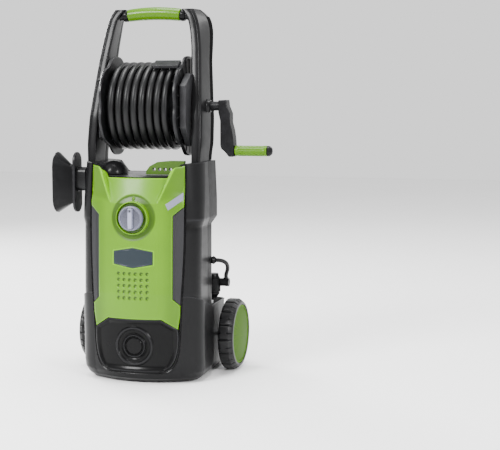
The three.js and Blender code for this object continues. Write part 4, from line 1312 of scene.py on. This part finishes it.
class WASHER_OT_wheels(bpy.types.Operator):
    """Build both wheels: treaded tyres, hubs and lime hub discs"""
    bl_idname = "washer.wheels"
    bl_label = "Wheels"

    def execute(self, context):
        dome = [(radius, 197 + 3.6 * (1 - (radius / 66) ** 2)) for radius in np.linspace(65, 0, 34)]
        for name, side in (("left", -1), ("right", 1)):
            centre = (0, WHEELS[name][1], WHEELS[name][2])
            flip = lambda profile: [(radius, side * at) for radius, at in profile]
            add_piece(f"{name}_tyre_treaded", turned("x", flip(TYRE), centre, 300, self.tread), "tyre",
                      f"{name}_wheel", [f"{name}_tyre"], 0, 26)
            add_piece(f"{name}_hub_disc", turned("x", flip(DISC_RIM + dome), centre, 216), "lime_disc",
                      f"{name}_wheel", [f"{name}_hub_cap"], 0, 30)
            refined(f"{name}_hub", "black", 0.001)
        refined("wheel_axle", "steel", 0.0008)
        return {"FINISHED"}

    @staticmethod
    def tread(angle, profile):
        """Broad tread blocks: narrow gaps across the tread, and a notch at both sides of each block."""
        phase = np.mod(angle[None] * 15 / (2 * np.pi), 1.0)
        gap = 1 - ease(np.abs(phase - 0.5), 0.030, 0.062)
        notch = 1 - ease(np.abs(phase - 0.05), 0.02, 0.05)
        at, radius = np.abs(profile[:, 1:2]), profile[:, :1]
        outside = ease(radius, 80.5, 83)
        short = ease(at, 183, 184) + 1 - ease(at, 169, 170)
        return 1 - outside * (0.040 * gap + 0.030 * notch * short)


# ---- small fittings and inside parts ---------------------------------------------------------
JUMPER = [(32, 0, 231.5), (32, 0, 237), (38, -7, 254), (39, -19, 267), (34, -31, 275), (24, -37, 278),
          (14, -38, 278), (0, -38, 278), (-26, -38, 278)]
OUTLET = (136.0, 96.0)


class WASHER_OT_fittings(bpy.types.Operator):
    """Build the cord hook, the outlet with its knurled nut, the short hose, the rack and the inside parts"""
    bl_idname = "washer.fittings"
    bl_label = "Fittings and inside"

    def execute(self, context):
        profile = [(0, 176), (9, 176), (9, 181), (15, 190), (15, 194), (17.2, 196)]
        profile += [(17.4, z) for z in np.linspace(197, 227, 16)]
        profile += [(16.8, 228), (14, 232), (12, 240), (0, 240)]

        def knurl(angle, points):
            """Upright ridges on the nut."""
            on_nut = ((points[:, 0] > 17) & (points[:, 1] > 197.5) & (points[:, 1] < 226.5))[:, None]
            return 1 - 0.05 * on_nut * (0.5 + 0.5 * np.cos(angle * 22))[None]

        add_piece("outlet_nut", turned("z", profile, (*OUTLET, 0), 176, knurl), "black", "machine",
                  ["outlet_fitting"], 0, 30)
        path = spline(np.array(JUMPER) + [*OUTLET, 0], 90)
        add_piece("jumper_hose_bent", carried(path, 5.0, 20, reference=(0.3, 1.0, 0.1)), "hose", "machine",
                  ["jumper_hose"])
        for node, finish, edge in FITTING_FINISHES:
            refined(node, finish, edge)
        for node, finish in INSIDE_FINISHES.items():
            refined(node, finish, 0.0005)
        for number in (1, 2, 3):
            cad = frame["nodes"][f"piston_{number}"]
            cad.data.materials.clear()
            cad.data.materials.append(FINISHES["steel"])
            self.spring(number)
        return {"FINISHED"}

    def spring(self, number):
        """Helical spring round a piston, with its upper end against the collar."""
        node, joint = f"piston_spring_{number}", f"piston_{number}_stroke"
        low, high = corners_of(node)
        x, y = (low[:2] + high[:2]) / 2
        turns, coil_radius, wire_radius = 4, 8.5, 1.2
        turn = np.linspace(0, turns * 2 * np.pi, turns * 24)
        rise = np.linspace(low[2] + 1.3, high[2] - 1.3, turn.size)
        path = np.stack([x + coil_radius * np.cos(turn), y + coil_radius * np.sin(turn), rise], 1)
        coil = add_piece(f"{node}_coil", carried(path, wire_radius, 10), "steel", f"piston_{number}", [node])
        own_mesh(coil)


FITTING_FINISHES = [
    ("hook_mount", "charcoal", 0.0018), ("hook_flare", "black", 0.0016), ("outlet_elbow", "black", 0.001),
    # the nozzle rack takes lime darkened as painted shade
    ("hose_grommet", "black", 0.0006), ("nozzle_rack", "lime_painted_shade", 0.0012), ("gun_holder", "black", 0.001),
    ("top_deck", "charcoal", 0.0008), ("cable_gland", "black", 0.0006), ("water_inlet", "brass", 0.0006),
]
INSIDE_FINISHES = {
    "switch_body": "black", "motor_can": "iron", "rotor": "steel", "cooling_fan": "black",
    "swash_plate": "steel", "pump_housing": "alloy", "pump_head": "brass", "outlet_pipe": "steel",
}


# ---- stage -----------------------------------------------------------------------------------
CAMERA_PLACE = (0.9496, -2.6311, 0.6708)
CAMERA_DOWN, CAMERA_ROUND = 6.26, 14.81
WORLD_STRENGTH = 1.3
LIGHTS_AIM = (0, 0, 0.45)
# name, place, side of the square light in metres, power in watts
LIGHTS = [
    ("Key", (-1.35, -2.5, 2.45), 1.1, 210), ("Fill", (2.8, -1.9, 1.7), 0.7, 95),
    ("Top", (0.0, 0.1, 3.2), 1.6, 150), ("Rim left", (-2.2, 1.6, 1.6), 1.0, 110),
    ("Rim right", (1.7, 2.4, 2.2), 1.0, 25),
]


class WASHER_OT_stage(bpy.types.Operator):
    """Set up the pale floor, the soft lights, the camera and every finish"""
    bl_idname = "washer.stage"
    bl_label = "Stage and finishes"

    def execute(self, context):
        scene = context.scene
        sizes = scene.washer_stage
        make_finishes(scene.washer_colours)
        self.camera(scene, sizes)
        self.floor(sizes)
        self.lights(scene)
        return {"FINISHED"}

    def camera(self, scene, sizes):
        """The camera, a little above the middle and to the right."""
        data = bpy.data.cameras.new("Camera")
        data.lens = sizes.focal / MM
        data.sensor_width = 36
        camera = bpy.data.objects.new("Camera", data)
        camera.location = CAMERA_PLACE
        camera.rotation_euler = (math.radians(90 - CAMERA_DOWN), 0, math.radians(CAMERA_ROUND))
        scene.collection.objects.link(camera)
        scene.camera = camera

    def floor(self, sizes):
        """A plain pale floor that reaches far behind the machine."""
        half = sizes.floor / 2
        mesh = bpy.data.meshes.new("floor")
        corners = [(-half, -half, 0), (half, -half, 0), (half, half, 0), (-half, half, 0)]
        mesh.from_pydata(corners, [], [(0, 1, 2, 3)])
        floor = bpy.data.objects.new("floor", mesh)
        bpy.context.scene.collection.objects.link(floor)
        n = Nodes("Pale floor")
        tone = n.mix(n.noise(1.5), (0.86, 0.86, 0.86), (0.9, 0.9, 0.9))
        mesh.materials.append(n.surface(tone, None, Roughness=0.6))
        floor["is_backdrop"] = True

    def lights(self, scene):
        """A pale world and soft square lights that all point at the machine's middle."""
        world = bpy.data.worlds.new("Studio")
        world.use_nodes = True
        background = world.node_tree.nodes["Background"]
        background.inputs["Color"].default_value = (1.0, 1.0, 1.0, 1.0)
        background.inputs["Strength"].default_value = WORLD_STRENGTH
        scene.world = world
        for name, place, size, power in LIGHTS:
            data = bpy.data.lights.new(name, "AREA")
            data.energy, data.size = power, size
            light = bpy.data.objects.new(name, data)
            light.location = place
            aim = Vector(LIGHTS_AIM) - Vector(place)
            light.rotation_euler = aim.to_track_quat("-Z", "Y").to_euler()
            scene.collection.objects.link(light)


# ---- panel and registration ------------------------------------------------------------------
OPERATORS = (WASHER_OT_stage, WASHER_OT_hose, WASHER_OT_casing, WASHER_OT_covers, WASHER_OT_dial,
             WASHER_OT_handle, WASHER_OT_reel, WASHER_OT_crank, WASHER_OT_wheels, WASHER_OT_fittings)
GROUPS = {"washer_colours": WasherColours, "washer_casing": CasingSizes, "washer_hose": HoseSizes,
          "washer_stage": StageSizes}


class WASHER_PT_sidebar(bpy.types.Panel):
    """Lists the sizes, the colours and the steps that build the pressure washer"""
    bl_idname = "WASHER_PT_sidebar"
    bl_label = "Pressure Washer"
    bl_space_type = "VIEW_3D"
    bl_region_type = "UI"
    bl_category = "Washer"

    def draw(self, context):
        for group in GROUPS:
            settings = getattr(context.scene, group)
            box = self.layout.box()
            for name in settings.__annotations__:
                box.prop(settings, name)
        for operator in OPERATORS:
            self.layout.operator(operator.bl_idname)


def register():
    for group in GROUPS.values():
        bpy.utils.register_class(group)
    for operator in OPERATORS:
        bpy.utils.register_class(operator)
    bpy.utils.register_class(WASHER_PT_sidebar)
    for name, group in GROUPS.items():
        setattr(bpy.types.Scene, name, bpy.props.PointerProperty(type=group))


def unregister():
    for name in GROUPS:
        delattr(bpy.types.Scene, name)
    bpy.utils.unregister_class(WASHER_PT_sidebar)
    for operator in reversed(OPERATORS):
        bpy.utils.unregister_class(operator)
    for group in reversed(GROUPS.values()):
        bpy.utils.unregister_class(group)


def main():
    register()
    for operator in OPERATORS:
        group, step = operator.bl_idname.split(".")
        getattr(getattr(bpy.ops, group), step)()
    low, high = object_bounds()
    {"cad": CAD_BOX, "visual": [list(low), list(high)]}


if __name__ == "__main__":
    main()
